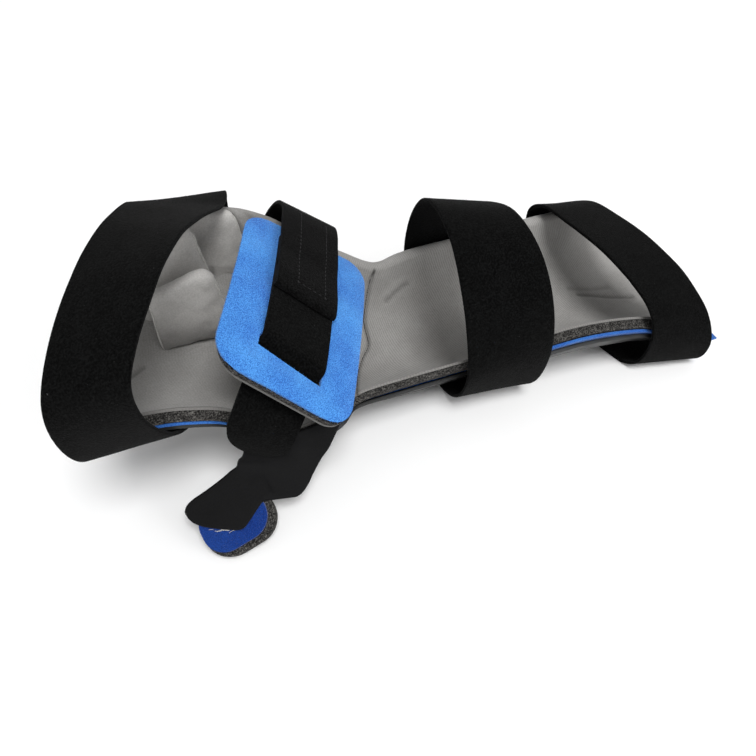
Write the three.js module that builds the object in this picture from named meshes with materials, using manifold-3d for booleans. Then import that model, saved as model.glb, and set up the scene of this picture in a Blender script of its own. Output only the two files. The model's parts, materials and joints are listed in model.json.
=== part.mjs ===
// Resting hand splint for a right hand, in millimetres, +Z up.
// The elbow end points to +X, the fingers to -X, and the thumb side is -Y.
// A moulded shell carries a laminated liner; soft straps go round it and hold a palm pad.
import * as THREE from 'three';
import { mergeVertices } from 'three/addons/utils/BufferGeometryUtils.js';
import Module from 'manifold-3d';

const wasm = await Module();
wasm.setup();

// Driving dimensions
const GAP = 0.3; // clearance between pieces that touch
const LINING = 1.4; // grey brushed lining
const FOAM = 5.6; // charcoal foam core
const BACKING = 1.8; // blue loop cloth
const SHELL = 2.4; // moulded shell
const STRAP = 2.0; // strap webbing
const BACKING_INSET = 2; // backing edge behind the lining edge
const SHELL_INSET = 5; // shell edge behind the lining edge
const CORNER_RADIUS = 20; // rounded corners of the liner ends
const HALF_ARC = 62; // usual length of half a section, lip to keel
const LENGTH_STEPS = 28; // facets along the trough
const ACROSS_STEPS = 12; // facets across the trough
const LOOP_STEPS = 44; // facets round a strap loop
const WING_STEPS = 10; // rows of points down the thumb wing
const WING_COLUMNS = 5;
const TONGUE_STEPS = 13; // rows of points along the thumb tongue
const TONGUE_COLUMNS = 4;
const PALM_STRAP_STEPS = 30; // facets along the palm strap
const OVERLAP_STEPS = 20; // facets along its overlapping end
const PAD_STEPS = 8; // facets along the straight part of the palm pad
const THUMB_PAD_STEPS = 4; // facets along the straight part of the thumb pad
const SLOPE_STEP = 0.004; // share of the trough over which its slope is measured
const CORNER_PLACES = [1, 0.94, 0.78, 0.5, 0]; // shares of a corner radius where it has points
const CROSSWISE = [-1, -0.5, 0, 0.5, 1]; // shares of a pad's half width where it has points
const ROUND_END = [0.6, 0.3, 0.12, 0.03]; // shares of the last strap step where a round end has points

// Depth of each layer's faces under the lining's visible face
const FOAM_TOP = LINING + GAP;
const BACKING_TOP = FOAM_TOP + FOAM + GAP;
const SHELL_TOP = BACKING_TOP + BACKING + GAP;
const SHELL_BOTTOM = SHELL_TOP + SHELL;
const LINER_ROOM = 4; // height over the lining that the thumb wing stays clear of

// Sections of the lining's visible face from the elbow to the fingertips: the lip on the
// thumb side, the lowest point and the lip on the far side, with each wall's turn in degrees.
const SECTIONS = [
  { near: [143, -57, 29], keel: [143, -5, 15.6], far: [143, 57, 49.5], nearTurn: 52, farTurn: 90 },
  { near: [122, -51, 36], keel: [122, -3, 15.4], far: [122, 53, 57], nearTurn: 58, farTurn: 94 },
  { near: [98, -45, 42], keel: [98, -2, 15.2], far: [98, 47, 63.5], nearTurn: 60, farTurn: 98 },
  { near: [60, -41, 46], keel: [60, 0, 15.2], far: [60, 43, 66], nearTurn: 60, farTurn: 101 },
  { near: [20, -40, 46], keel: [20, 0, 15.2], far: [20, 42, 65.5], nearTurn: 48, farTurn: 102 },
  { near: [-20, -40, 45], keel: [-20, 0, 15], far: [-20, 42, 65], nearTurn: 42, farTurn: 101 },
  { near: [-58, -40, 46], keel: [-54, 4, 13.1], far: [-44, 43, 62], nearTurn: 42, farTurn: 97 },
  { near: [-90, -41, 46], keel: [-82, 9, 13], far: [-66, 50, 75], nearTurn: 44, farTurn: 92 },
  { near: [-116, -47, 41], keel: [-106, 7, 25], far: [-90, 55, 94], nearTurn: 45, farTurn: 88 },
  { near: [-137, -48, 45], keel: [-128, 2, 41], far: [-106, 59, 106], nearTurn: 32, farTurn: 85 },
  { near: [-158, -45, 65], keel: [-150, 0, 56], far: [-124, 61, 114], nearTurn: 36, farTurn: 82 },
  { near: [-180, -43, 74], keel: [-177, 2, 64], far: [-152, 64, 117], nearTurn: 42, farTurn: 82 },
  { near: [-202, -40, 76], keel: [-201, 5, 65], far: [-180, 66, 110], nearTurn: 46, farTurn: 80 },
  { near: [-228, -34, 74], keel: [-226, 10, 63], far: [-208, 66, 100], nearTurn: 48, farTurn: 78 },
];

// Strap loops: x of each edge at y = 0, how far x runs on for each millimetre of y up to a
// limit, and the outer outline of both edges, from the bottom on the far side round the near side.
const WRIST_STRAP = {
  left: { x: -22, lean: 0.08 },
  right: { x: 25, lean: 0 },
  leanLimit: 60,
  outline: [
    { leftY: 30, leftZ: 0, rightY: 31, rightZ: 0 },
    { leftY: -22, leftZ: 0, rightY: -28, rightZ: 0 },
    { leftY: -42, leftZ: 13, rightY: -48, rightZ: 15 },
    { leftY: -52, leftZ: 39, rightY: -57, rightZ: 44 },
    { leftY: -44, leftZ: 67, rightY: -54, rightZ: 68 },
    { leftY: -31, leftZ: 90, rightY: -41, rightZ: 91 },
    { leftY: -12, leftZ: 110, rightY: -22, rightZ: 105 },
    { leftY: 9, leftZ: 117, rightY: 2, rightZ: 110 },
    { leftY: 27, leftZ: 111, rightY: 28, rightZ: 101 },
    { leftY: 42, leftZ: 92, rightY: 47, rightZ: 86 },
    { leftY: 57, leftZ: 66, rightY: 57.5, rightZ: 65 },
    { leftY: 56, leftZ: 38, rightY: 56.5, rightZ: 38 },
    { leftY: 47, leftZ: 13, rightY: 48, rightZ: 13 },
  ],
};
const FOREARM_STRAP = {
  left: { x: 90, lean: -0.2 },
  right: { x: 134.5, lean: -0.15 },
  leanLimit: 60,
  outline: [
    { leftY: 28, leftZ: 0, rightY: 32, rightZ: 0 },
    { leftY: -42, leftZ: 0, rightY: -53, rightZ: 0 },
    { leftY: -55, leftZ: 10, rightY: -65, rightZ: 7 },
    { leftY: -58, leftZ: 35, rightY: -68, rightZ: 23 },
    { leftY: -50, leftZ: 51, rightY: -58, rightZ: 41 },
    { leftY: -32, leftZ: 62, rightY: -36, rightZ: 55 },
    { leftY: -6, leftZ: 70, rightY: -6, rightZ: 64 },
    { leftY: 24, leftZ: 74, rightY: 24, rightZ: 67 },
    { leftY: 48, leftZ: 75, rightY: 52, rightZ: 65 },
    { leftY: 60.5, leftZ: 65, rightY: 70, rightZ: 52 },
    { leftY: 58, leftZ: 36, rightY: 64, rightZ: 29 },
    { leftY: 46, leftZ: 11, rightY: 50, rightZ: 8 },
  ],
};
const FINGER_STRAP = {
  left: { x: -206, lean: 0.5 },
  right: { x: -158, lean: 0.6 },
  leanLimit: 46,
  outline: [
    { leftY: 8, leftZ: 46, rightY: 8, rightZ: 39.5 },
    { leftY: -24, leftZ: 49, rightY: -22, rightZ: 46 },
    { leftY: -48, leftZ: 62, rightY: -46, rightZ: 60 },
    { leftY: -59, leftZ: 90, rightY: -66, rightZ: 98 },
    { leftY: -56, leftZ: 112, rightY: -65, rightZ: 121 },
    { leftY: -38, leftZ: 127, rightY: -42, rightZ: 136 },
    { leftY: -10, leftZ: 137, rightY: -10, rightZ: 145 },
    { leftY: 18, leftZ: 140, rightY: 16, rightZ: 140 },
    { leftY: 50, leftZ: 134, rightY: 46, rightZ: 128 },
    { leftY: 77, leftZ: 116.5, rightY: 77, rightZ: 114.5 },
    { leftY: 80, leftZ: 88, rightY: 76, rightZ: 90 },
    { leftY: 50, leftZ: 56, rightY: 49, rightZ: 53 },
  ],
};

// Palm pad: its centre, its direction to the fingers and to the far side, and its sizes
const PAD_CENTRE = new THREE.Vector3(-113.5, -16.5, 91.7);
const PAD_TO_FINGERS = new THREE.Vector3(-0.746, 0.273, 0.608).normalize();
const PAD_TO_FAR = new THREE.Vector3(0.437, 0.889, 0.138);
const PAD_ALONG = 77;
const PAD_ACROSS = 107;
const PAD_TAPER = 0.07; // share by which the finger side is shorter and the elbow side longer
const PAD_CORNER = 14;
const PAD_DROP = 3; // how far the pad's two ends curve down
const PAD_FACE = 1.8;
const PAD_FOAM_TOP = 2.5; // height of the foam's upper face over the pad's centre
const PAD_FOAM = 2.6;
const PAD_BACK = 1.0;
const PAD_SLOT = { across: -32.5, width: 10, length: 40, turn: 0.2 };
const PALM_STRAP_WIDTH = 36;

// Palm strap, from under the overlap through the slot to its round end on the thumb wing: place
// across the pad, height over the pad's middle, shift to the fingers and how far the finger edge leads
const PALM_STRAP_ROUTE = [
  { across: 40, height: 4.8, shift: 1.2, skew: 0.05 },
  { across: 20, height: 6, shift: 0.7, skew: 0.07 },
  { across: -6, height: 6.4, shift: 0, skew: 0.12 },
  { across: -24, height: 5.8, shift: -0.4, skew: 0.19 },
  { across: -29.4, height: 4.6, shift: -0.6, skew: 0.2 },
  { across: -32.6, height: -0.4, shift: -0.6, skew: 0.2 },
  { across: -35.8, height: -6, shift: -0.6, skew: 0.2 },
  { across: -42, height: -10, shift: -2.4, skew: 0.16 },
  { across: -50, height: -16.6, shift: -3.4, skew: 0.08 },
  { across: -56.4, height: -26, shift: -5.4, skew: 0 },
  { across: -59.3, height: -36.2, shift: -8.1, skew: -0.08 },
  { across: -58.8, height: -46.2, shift: -11.4, skew: -0.16 },
];
// Overlapping end of the palm strap, from its hem on the pad over the far lip to the shell
const PALM_OVERLAP_ROUTE = [
  { across: 1, height: 8.7, shift: 0.5, skew: 0.09 },
  { across: 20, height: 8.4, shift: 0.8, skew: 0.06 },
  { across: 40, height: 7.6, shift: 1.8, skew: 0.02 },
  { across: 54, height: 6.2, shift: 2.6, skew: -0.04 },
  { across: 63, height: 4.9, shift: 2.9, skew: -0.08 },
  { across: 71.5, height: 1.8, shift: 3.1, skew: -0.13 },
  { across: 79.5, height: -4.6, shift: 3, skew: -0.135 },
  { across: 85, height: -12.6, shift: 2.6, skew: -0.135 },
  { across: 86.6, height: -21.5, shift: 2, skew: -0.135 },
  { across: 84, height: -29, shift: 1, skew: -0.155 },
  { across: 79.5, height: -36.8, shift: 0, skew: -0.19 },
  { across: 72.5, height: -45.4, shift: -1.5, skew: -0.23 },
];

// Finger separators: place across the hand, turn in degrees, thickness, then x of the finger end,
// of the elbow end at the top and at the foot, and the height of the top at its finger and elbow ends
const SEPARATORS = [
  { name: 'near', y: 14, turn: -2, thick: 9, fingerX: -183, elbowX: -147, footX: -136, tops: [104, 110] },
  { name: 'middle', y: 36, turn: 2, thick: 9, fingerX: -188, elbowX: -151, footX: -138, tops: [121, 125] },
  { name: 'far', y: 53, turn: 5, thick: 8, fingerX: -166, elbowX: -124, footX: -114, tops: [119, 118] },
];
const SEPARATOR_ROUND = 3.9; // rounding of the padded edges
const SEPARATOR_CORNER = 5; // rounding of the outline's corners
const SEPARATOR_FOOT = 40; // height where a tab starts, under the lining
const SEPARATOR_BEVEL_STEPS = 3;
const SEPARATOR_CORNER_STEPS = 4;

// Thumb wing of the shell: where its two edges leave the shell, as shares of the length and of the
// near wall, and then its edges towards the elbow and towards the fingers, root to tip
const WING_ROOT = { elbow: 0.595, fingers: 0.758, heights: [-0.7, -0.88] };
const WING_ROWS = [
  { elbow: [-112, -55.5, 28.5], fingers: [-158, -51.5, 41.5] },
  { elbow: [-119, -60, 25], fingers: [-159.5, -52, 36.5] },
  { elbow: [-127, -66, 20], fingers: [-163, -53, 31.6] },
  { elbow: [-134.4, -73.4, 15.5], fingers: [-161.7, -71.4, 22.2] },
];

// Thumb tongue of the shell, in the thumb's own frame: place along the thumb, then its upper
// edge, its lower edge and its height over the frame's plane
const THUMB_ROOT = new THREE.Vector3(-155.9, -62.1, 28.95);
const THUMB_ALONG = new THREE.Vector3(-0.952, -0.049, -0.303).normalize();
const THUMB_DOWN = new THREE.Vector3(0.178, -0.892, -0.416);
const TONGUE_ROWS = [
  { along: -3, upper: -6, lower: 11, lift: -4.2 },
  { along: 3, upper: -10, lower: 12.5, lift: -1.8 },
  { along: 8, upper: -10.4, lower: 15, lift: -0.2 },
  { along: 13, upper: -9.5, lower: 17.6, lift: 0 },
  { along: 19, upper: -8.6, lower: 19.3, lift: 0 },
  { along: 27, upper: -7.8, lower: 14.4, lift: 0 },
  { along: 34.5, upper: -7.2, lower: 8.6, lift: 0 },
  { along: 38.6, upper: -5.6, lower: 4, lift: 0 },
  { along: 40.3, upper: -3.6, lower: 0, lift: 0 },
];
// Thumb pad under the tongue: its middle in the same frame, its sizes, its layers, and how much
// shorter its face is than its foam on the elbow side and on the lower side
const THUMB_PAD = { along: 19, down: 14, length: 39, width: 31, corner: 14, face: 1.8, foam: FOAM, trim: 3.4 };

// Colours and finishes
const finish = (color, roughness) => new THREE.MeshStandardMaterial({ color, roughness, metalness: 0 });
const GREY_LINING = () => finish(0x918f8c, 0.95);
const CHARCOAL_FOAM = () => finish(0x464442, 0.95);
const BLUE_LOOP = () => finish(0x2c6cd8, 0.9);
const BLACK_WEBBING = () => finish(0x18191b, 0.9);
const DARK_SHELL = () => finish(0x2d2f2e, 0.55);

// Solids and booleans
function closedGeometry(points, faces) {
  const geometry = new THREE.BufferGeometry();
  const values = points.flatMap((p) => p.toArray());
  geometry.setAttribute('position', new THREE.Float32BufferAttribute(values, 3));
  geometry.setIndex(faces.flat());
  return geometry;
}

function toSolid(geometry) {
  const bare = geometry.clone();
  bare.deleteAttribute('normal');
  bare.deleteAttribute('uv');
  const merged = mergeVertices(bare, 1e-4);
  const mesh = new wasm.Mesh({
    numProp: 3,
    vertProperties: new Float32Array(merged.attributes.position.array),
    triVerts: new Uint32Array(merged.index.array),
  });
  return new wasm.Manifold(mesh);
}

function toGeometry(solid) {
  const mesh = solid.getMesh();
  const geometry = new THREE.BufferGeometry();
  geometry.setAttribute('position', new THREE.Float32BufferAttribute(mesh.vertProperties, 3));
  geometry.setIndex([...mesh.triVerts]);
  return geometry;
}

function largestBody(solid) {
  return solid.decompose().reduce((best, body) => (body.volume() > best.volume() ? body : best));
}

// Closed wall between two grids of points; the first grid's faces point away from the second
function wall(top, bottom, closedRows = false) {
  const rows = top.length;
  const columns = top[0].length;
  const points = [...top.flat(), ...bottom.flat()];
  const at = (side, i, j) => side * rows * columns + (i % rows) * columns + j;
  const faces = [];
  const quad = (a, b, c, d) => faces.push([a, b, c], [a, c, d]);
  const lastRow = closedRows ? rows : rows - 1;
  for (let i = 0; i < lastRow; i += 1) {
    for (let j = 0; j < columns - 1; j += 1) {
      quad(at(0, i, j), at(0, i + 1, j), at(0, i + 1, j + 1), at(0, i, j + 1));
      quad(at(1, i, j), at(1, i, j + 1), at(1, i + 1, j + 1), at(1, i + 1, j));
    }
    quad(at(0, i, 0), at(1, i, 0), at(1, i + 1, 0), at(0, i + 1, 0));
    const end = columns - 1;
    quad(at(0, i, end), at(0, i + 1, end), at(1, i + 1, end), at(1, i, end));
  }
  if (!closedRows) {
    for (let j = 0; j < columns - 1; j += 1) {
      quad(at(0, 0, j), at(0, 0, j + 1), at(1, 0, j + 1), at(1, 0, j));
      const end = rows - 1;
      quad(at(0, end, j), at(1, end, j), at(1, end, j + 1), at(0, end, j + 1));
    }
  }
  return closedGeometry(points, faces);
}

function grid(rows, columns, point) {
  const make = (i) => Array.from({ length: columns }, (_, j) => point(i / (rows - 1), j / (columns - 1)));
  return Array.from({ length: rows }, (_, i) => make(i));
}

// Trough of the splint
const smoothCurve = (points) => new THREE.CatmullRomCurve3(points, false, 'catmullrom', 0.5);
const nearLip = smoothCurve(SECTIONS.map((s) => new THREE.Vector3(...s.near)));
const keelLine = smoothCurve(SECTIONS.map((s) => new THREE.Vector3(...s.keel)));
const farLip = smoothCurve(SECTIONS.map((s) => new THREE.Vector3(...s.far)));
const turns = smoothCurve(SECTIONS.map((s) => new THREE.Vector3(s.nearTurn, s.farTurn, 0)));
const TROUGH_LENGTH = keelLine.getLength();

// Point of the lining's visible face: u from elbow to fingers, v from near lip (-1) to far lip (1)
function troughPoint(u, v) {
  const keel = keelLine.getPoint(u);
  const lip = v < 0 ? nearLip.getPoint(u) : farLip.getPoint(u);
  const turn = turns.getPoint(u);
  const full = THREE.MathUtils.degToRad(v < 0 ? turn.x : turn.y);
  const angle = Math.abs(v) * full;
  const side = Math.sin(angle) / Math.sin(full);
  const rise = (1 - Math.cos(angle)) / (1 - Math.cos(full));
  return new THREE.Vector3(
    keel.x + (lip.x - keel.x) * side,
    keel.y + (lip.y - keel.y) * side,
    keel.z + (lip.z - keel.z) * rise,
  );
}

// Point at a depth under the lining's visible face, measured square to it
function troughAt(u, v, depth) {
  const uLow = Math.max(0, u - SLOPE_STEP);
  const uHigh = Math.min(1, u + SLOPE_STEP);
  const along = troughPoint(uHigh, v).sub(troughPoint(uLow, v));
  const across = v < 0
    ? troughPoint(u, v + SLOPE_STEP).sub(troughPoint(u, v))
    : troughPoint(u, v).sub(troughPoint(u, Math.max(0, v - SLOPE_STEP)));
  if (v === 0) across.copy(troughPoint(u, SLOPE_STEP)).sub(troughPoint(u, -SLOPE_STEP));
  const outward = along.cross(across).normalize();
  return troughPoint(u, v).addScaledVector(outward, depth);
}

// Share of a half section that is left near the two ends, where the corners are round
function cornerReach(u, inset) {
  const fromEnd = Math.min(u, 1 - u) * TROUGH_LENGTH;
  const back = Math.max(0, CORNER_RADIUS - fromEnd);
  const cut = CORNER_RADIUS - Math.sqrt(CORNER_RADIUS ** 2 - back ** 2);
  return 1 - (inset + cut) / HALF_ARC;
}

// Layer between two depths; an inset layer keeps the same facets and is only trimmed at its edges
function troughLayer(topDepth, bottomDepth, inset) {
  const endInset = inset / TROUGH_LENGTH;
  const place = (depth) => (i, j) => {
    const u = THREE.MathUtils.clamp(i, endInset, 1 - endInset);
    const limit = cornerReach(u, inset);
    const v = THREE.MathUtils.clamp((2 * j - 1) * cornerReach(u, 0), -limit, limit);
    return troughAt(u, v, depth);
  };
  const rows = LENGTH_STEPS + 1;
  const columns = ACROSS_STEPS + 1;
  return wall(grid(rows, columns, place(bottomDepth)), grid(rows, columns, place(topDepth)));
}

// Sheet with a thickness to both sides of a grid of points
function sheetFromGrid(points, thickness) {
  const rows = points.length;
  const columns = points[0].length;
  const offset = (i, j, distance) => {
    const along = points[Math.min(i + 1, rows - 1)][j].clone().sub(points[Math.max(i - 1, 0)][j]);
    const across = points[i][Math.min(j + 1, columns - 1)].clone().sub(points[i][Math.max(j - 1, 0)]);
    const normal = along.cross(across).normalize();
    return points[i][j].clone().addScaledVector(normal, distance);
  };
  const side = (distance) => points.map((row, i) => row.map((_, j) => offset(i, j, distance)));
  return wall(side(thickness / 2), side(-thickness / 2));
}

// Thumb frame: a point from its place along, down and above the thumb's plane
THUMB_DOWN.addScaledVector(THUMB_ALONG, -THUMB_DOWN.dot(THUMB_ALONG)).normalize();
const THUMB_UP = THUMB_ALONG.clone().cross(THUMB_DOWN);

function thumbPoint(along, down, height) {
  return THUMB_ROOT.clone()
    .addScaledVector(THUMB_ALONG, along)
    .addScaledVector(THUMB_DOWN, down)
    .addScaledVector(THUMB_UP, height);
}

// Wing and tongue that the shell carries for the thumb, as one sheet
function thumbSheet(thickness, shift = new THREE.Vector3()) {
  const wingColumn = (j) => smoothCurve([
    ...WING_ROOT.heights.map((v) => {
      const u = THREE.MathUtils.lerp(WING_ROOT.elbow, WING_ROOT.fingers, j);
      return troughAt(u, v, SHELL_TOP + SHELL / 2);
    }),
    ...WING_ROWS.map((row) => new THREE.Vector3(...row.elbow).lerp(new THREE.Vector3(...row.fingers), j)),
  ]);
  const wing = grid(WING_STEPS, WING_COLUMNS, (i, j) => wingColumn(j).getPoint(i).add(shift));
  const upperEdge = smoothCurve(TONGUE_ROWS.map((row) => thumbPoint(row.along, row.upper, row.lift)));
  const lowerEdge = smoothCurve(TONGUE_ROWS.map((row) => thumbPoint(row.along, row.lower, row.lift)));
  const tonguePoint = (i, j) => upperEdge.getPoint(i).lerp(lowerEdge.getPoint(i), j).add(shift);
  const tongue = grid(TONGUE_STEPS, TONGUE_COLUMNS, tonguePoint);
  return toSolid(sheetFromGrid(wing, thickness)).add(toSolid(sheetFromGrid(tongue, thickness)));
}

function shellGeometry() {
  const trough = toSolid(troughLayer(SHELL_TOP, SHELL_BOTTOM, SHELL_INSET));
  const room = (inset) => toSolid(troughLayer(-LINER_ROOM, SHELL_TOP - GAP / 2, inset));
  const whole = trough.add(thumbSheet(SHELL));
  return toGeometry(largestBody(whole.subtract(room(0)).subtract(room(BACKING_INSET))));
}

// Closed strap loop between its two edges
function loopGeometry(strap) {
  const flat = (side) => strap.outline.map((p) => new THREE.Vector3(p[`${side}Y`], p[`${side}Z`], 0));
  const curves = ['left', 'right'].map((side) => new THREE.CatmullRomCurve3(flat(side), true));
  const edges = [strap.left, strap.right];
  const ring = (depth) => Array.from({ length: LOOP_STEPS }, (_, i) => edges.map((edge, k) => {
    const t = i / LOOP_STEPS;
    const place = curves[k].getPoint(t);
    const tangent = curves[k].getTangent(t);
    const y = place.x + tangent.y * depth;
    const z = Math.max(place.y, 0) - tangent.x * depth;
    return new THREE.Vector3(edge.x + edge.lean * Math.min(y, strap.leanLimit), y, z);
  }));
  return wall(ring(STRAP), ring(0), true);
}

// Palm pad frame: a point from its place across, along and above the pad
PAD_TO_FAR.addScaledVector(PAD_TO_FINGERS, -PAD_TO_FAR.dot(PAD_TO_FINGERS)).normalize();
const PAD_UP = PAD_TO_FAR.clone().cross(PAD_TO_FINGERS);

function padPoint(across, along, height) {
  return PAD_CENTRE.clone()
    .addScaledVector(PAD_TO_FAR, across)
    .addScaledVector(PAD_TO_FINGERS, along)
    .addScaledVector(PAD_UP, height);
}

const padCurve = (across) => -PAD_DROP * (2 * across / PAD_ACROSS) ** 2;

// Half width of a rounded rectangle at a place along its length
function roundedHalf(place, length, width, corner) {
  const past = Math.abs(place) - (length / 2 - corner);
  if (past <= 0) return width / 2;
  return width / 2 - corner + Math.sqrt(Math.max(corner ** 2 - past ** 2, 0.01));
}

// Places along a rounded rectangle, close together at its two round ends
function roundedPlaces(length, corner, middle) {
  const ends = CORNER_PLACES.map((s) => length / 2 - corner + corner * s);
  const straight = length / 2 - corner;
  const between = Array.from({ length: middle - 1 }, (_, i) => straight * (1 - 2 * (i + 1) / middle));
  return [...ends, ...between, ...ends.map((place) => -place).reverse()];
}

function padLayer(bottomHeight, topHeight) {
  const places = roundedPlaces(PAD_ACROSS, PAD_CORNER, PAD_STEPS);
  const face = (height) => places.map((across) => {
    const half = roundedHalf(across, PAD_ACROSS, PAD_ALONG, PAD_CORNER);
    return CROSSWISE.map((s) => {
      const along = s * half;
      const tapered = across * (1 - PAD_TAPER * along / (PAD_ALONG / 2));
      return padPoint(tapered, along, height + padCurve(across));
    });
  });
  const plate = toSolid(wall(face(bottomHeight), face(topHeight)));
  const slot = new THREE.BoxGeometry(PAD_SLOT.width, PAD_SLOT.length, PAD_SLOT.length);
  slot.rotateZ(-PAD_SLOT.turn);
  const basis = new THREE.Matrix4().makeBasis(PAD_TO_FAR, PAD_TO_FINGERS, PAD_UP);
  basis.setPosition(padPoint(PAD_SLOT.across, 0, 0));
  slot.applyMatrix4(basis);
  return toGeometry(plate.subtract(toSolid(slot)));
}

// Strap on a route over the palm pad, with a square last end or one rounded to a radius
function palmBand(route, steps, endRadius) {
  const half = PALM_STRAP_WIDTH / 2;
  const edge = (side) => smoothCurve(route.map((row) => (
    padPoint(row.across + side * row.skew * half, row.shift + side * half, row.height)
  )));
  const elbowEdge = edge(-1);
  const fingerEdge = edge(1);
  const middleAt = (t) => elbowEdge.getPoint(t).lerp(fingerEdge.getPoint(t), 0.5);
  const last = middleAt(1);
  const even = Array.from({ length: steps + 1 }, (_, i) => i / steps);
  const roundEnd = ROUND_END.map((share) => 1 - share / steps);
  const stations = endRadius > 0 ? [...even.slice(0, -1), ...roundEnd] : even;
  const points = stations.map((t) => {
    const past = Math.max(0, endRadius - middleAt(t).distanceTo(last));
    const share = endRadius > 0 ? Math.sqrt(1 - (past / endRadius) ** 2) : 1;
    return [-1, 0, 1].map((k) => elbowEdge.getPoint(t).lerp(fingerEdge.getPoint(t), 0.5 + 0.5 * k * share));
  });
  return sheetFromGrid(points, STRAP);
}

// Padded separator tab, seated on the lining
const liningRoom = toSolid(troughLayer(-GAP, FOAM_TOP + FOAM, 0));

function filletedShape(corners, radius) {
  const shape = new THREE.Shape();
  corners.forEach((corner, i) => {
    const before = corners[(i + corners.length - 1) % corners.length];
    const after = corners[(i + 1) % corners.length];
    const start = corner.clone().add(before.clone().sub(corner).setLength(radius));
    const end = corner.clone().add(after.clone().sub(corner).setLength(radius));
    if (i === 0) shape.moveTo(start.x, start.y);
    else shape.lineTo(start.x, start.y);
    shape.quadraticCurveTo(corner.x, corner.y, end.x, end.y);
  });
  shape.closePath();
  return shape;
}

function separatorGeometry(tab) {
  const middleX = (tab.fingerX + tab.footX) / 2;
  const [fingerTop, elbowTop] = tab.tops;
  const corner = (x, z) => new THREE.Vector2(x - middleX, z - SEPARATOR_FOOT);
  const shape = filletedShape([
    corner(tab.fingerX + SEPARATOR_ROUND, SEPARATOR_FOOT),
    corner(tab.footX - SEPARATOR_ROUND, SEPARATOR_FOOT),
    corner(tab.elbowX - SEPARATOR_ROUND, elbowTop - SEPARATOR_ROUND),
    corner(tab.fingerX + SEPARATOR_ROUND, fingerTop - SEPARATOR_ROUND),
  ], SEPARATOR_CORNER);
  const geometry = new THREE.ExtrudeGeometry(shape, {
    depth: tab.thick - 2 * SEPARATOR_ROUND,
    bevelThickness: SEPARATOR_ROUND,
    bevelSize: SEPARATOR_ROUND,
    bevelSegments: SEPARATOR_BEVEL_STEPS,
    curveSegments: SEPARATOR_CORNER_STEPS,
  });
  geometry.translate(0, 0, -tab.thick / 2 + SEPARATOR_ROUND);
  geometry.rotateX(Math.PI / 2);
  geometry.rotateZ(THREE.MathUtils.degToRad(-tab.turn));
  geometry.translate(middleX, tab.y, SEPARATOR_FOOT);
  const pieces = toSolid(geometry).subtract(liningRoom).decompose();
  const topOf = (solid) => solid.boundingBox().max[2];
  return toGeometry(pieces.reduce((best, piece) => (topOf(piece) > topOf(best) ? piece : best)));
}

// Layer of the thumb pad, cut clear of the wing and the tongue that it lies against
const thumbClearance = THUMB_DOWN.clone().multiplyScalar(GAP);
const thumbRoom = thumbSheet(SHELL + 2 * GAP).add(thumbSheet(SHELL + 2 * GAP, thumbClearance));

function thumbLayer(topDepth, thickness, trim) {
  const corner = THUMB_PAD.corner - trim / 2;
  const along = THUMB_PAD.along + trim / 2;
  const down = THUMB_PAD.down - trim / 2;
  const length = THUMB_PAD.length - trim;
  const width = THUMB_PAD.width - trim;
  const places = roundedPlaces(length, corner, THUMB_PAD_STEPS);
  const face = (depth) => places.map((place) => {
    const half = roundedHalf(place, length, width, corner);
    return CROSSWISE.map((s) => thumbPoint(along + place, down - s * half, -depth));
  });
  const layer = toSolid(wall(face(topDepth), face(topDepth + thickness)));
  return toGeometry(largestBody(layer.subtract(thumbRoom)));
}

// Assembly
const splint = new THREE.Group();
splint.name = 'resting_hand_splint';

function addPiece(name, geometry, material) {
  const mesh = new THREE.Mesh(geometry, material);
  mesh.name = name;
  splint.add(mesh);
}

addPiece('shell', shellGeometry(), DARK_SHELL());
addPiece('liner_backing', troughLayer(BACKING_TOP, BACKING_TOP + BACKING, BACKING_INSET), BLUE_LOOP());
addPiece('liner_foam', troughLayer(FOAM_TOP, FOAM_TOP + FOAM, 0), CHARCOAL_FOAM());
addPiece('lining', troughLayer(0, LINING, 0), GREY_LINING());
SEPARATORS.forEach((tab) => {
  addPiece(`finger_separator_${tab.name}`, separatorGeometry(tab), GREY_LINING());
});

addPiece('wrist_strap', loopGeometry(WRIST_STRAP), BLACK_WEBBING());
addPiece('forearm_strap', loopGeometry(FOREARM_STRAP), BLACK_WEBBING());
addPiece('finger_strap', loopGeometry(FINGER_STRAP), BLACK_WEBBING());

const padFoamBottom = PAD_FOAM_TOP - PAD_FOAM;
const padFaceBottom = PAD_FOAM_TOP + GAP;
addPiece('palm_pad_back', padLayer(padFoamBottom - GAP - PAD_BACK, padFoamBottom - GAP), GREY_LINING());
addPiece('palm_pad_foam', padLayer(padFoamBottom, PAD_FOAM_TOP), CHARCOAL_FOAM());
addPiece('palm_pad_face', padLayer(padFaceBottom, padFaceBottom + PAD_FACE), BLUE_LOOP());
addPiece('palm_strap', palmBand(PALM_STRAP_ROUTE, PALM_STRAP_STEPS, PALM_STRAP_WIDTH / 2), BLACK_WEBBING());
addPiece('palm_strap_overlap', palmBand(PALM_OVERLAP_ROUTE, OVERLAP_STEPS, 0), BLACK_WEBBING());

const thumbFaceTop = SHELL / 2 + GAP;
const thumbFoamTop = thumbFaceTop + THUMB_PAD.face + GAP;
addPiece('thumb_pad_face', thumbLayer(thumbFaceTop, THUMB_PAD.face, THUMB_PAD.trim), BLUE_LOOP());
addPiece('thumb_pad_foam', thumbLayer(thumbFoamTop, THUMB_PAD.foam, 0), CHARCOAL_FOAM());

// The origin is the middle of the footprint, on the surface that the splint lies on
const box = new THREE.Box3().setFromObject(splint);
const middle = box.getCenter(new THREE.Vector3());
splint.position.set(-middle.x, -middle.y, -box.min.z);

export default splint;
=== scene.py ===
"""Looks of a resting hand splint: knit lining, cut foam, blue plush, black straps and a moulded shell.

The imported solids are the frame. Tables are in millimetres in the splint's drawing, whose zero is
under the wrist strap; every finished piece is in metres in the frame.
"""

import json
import math

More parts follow.
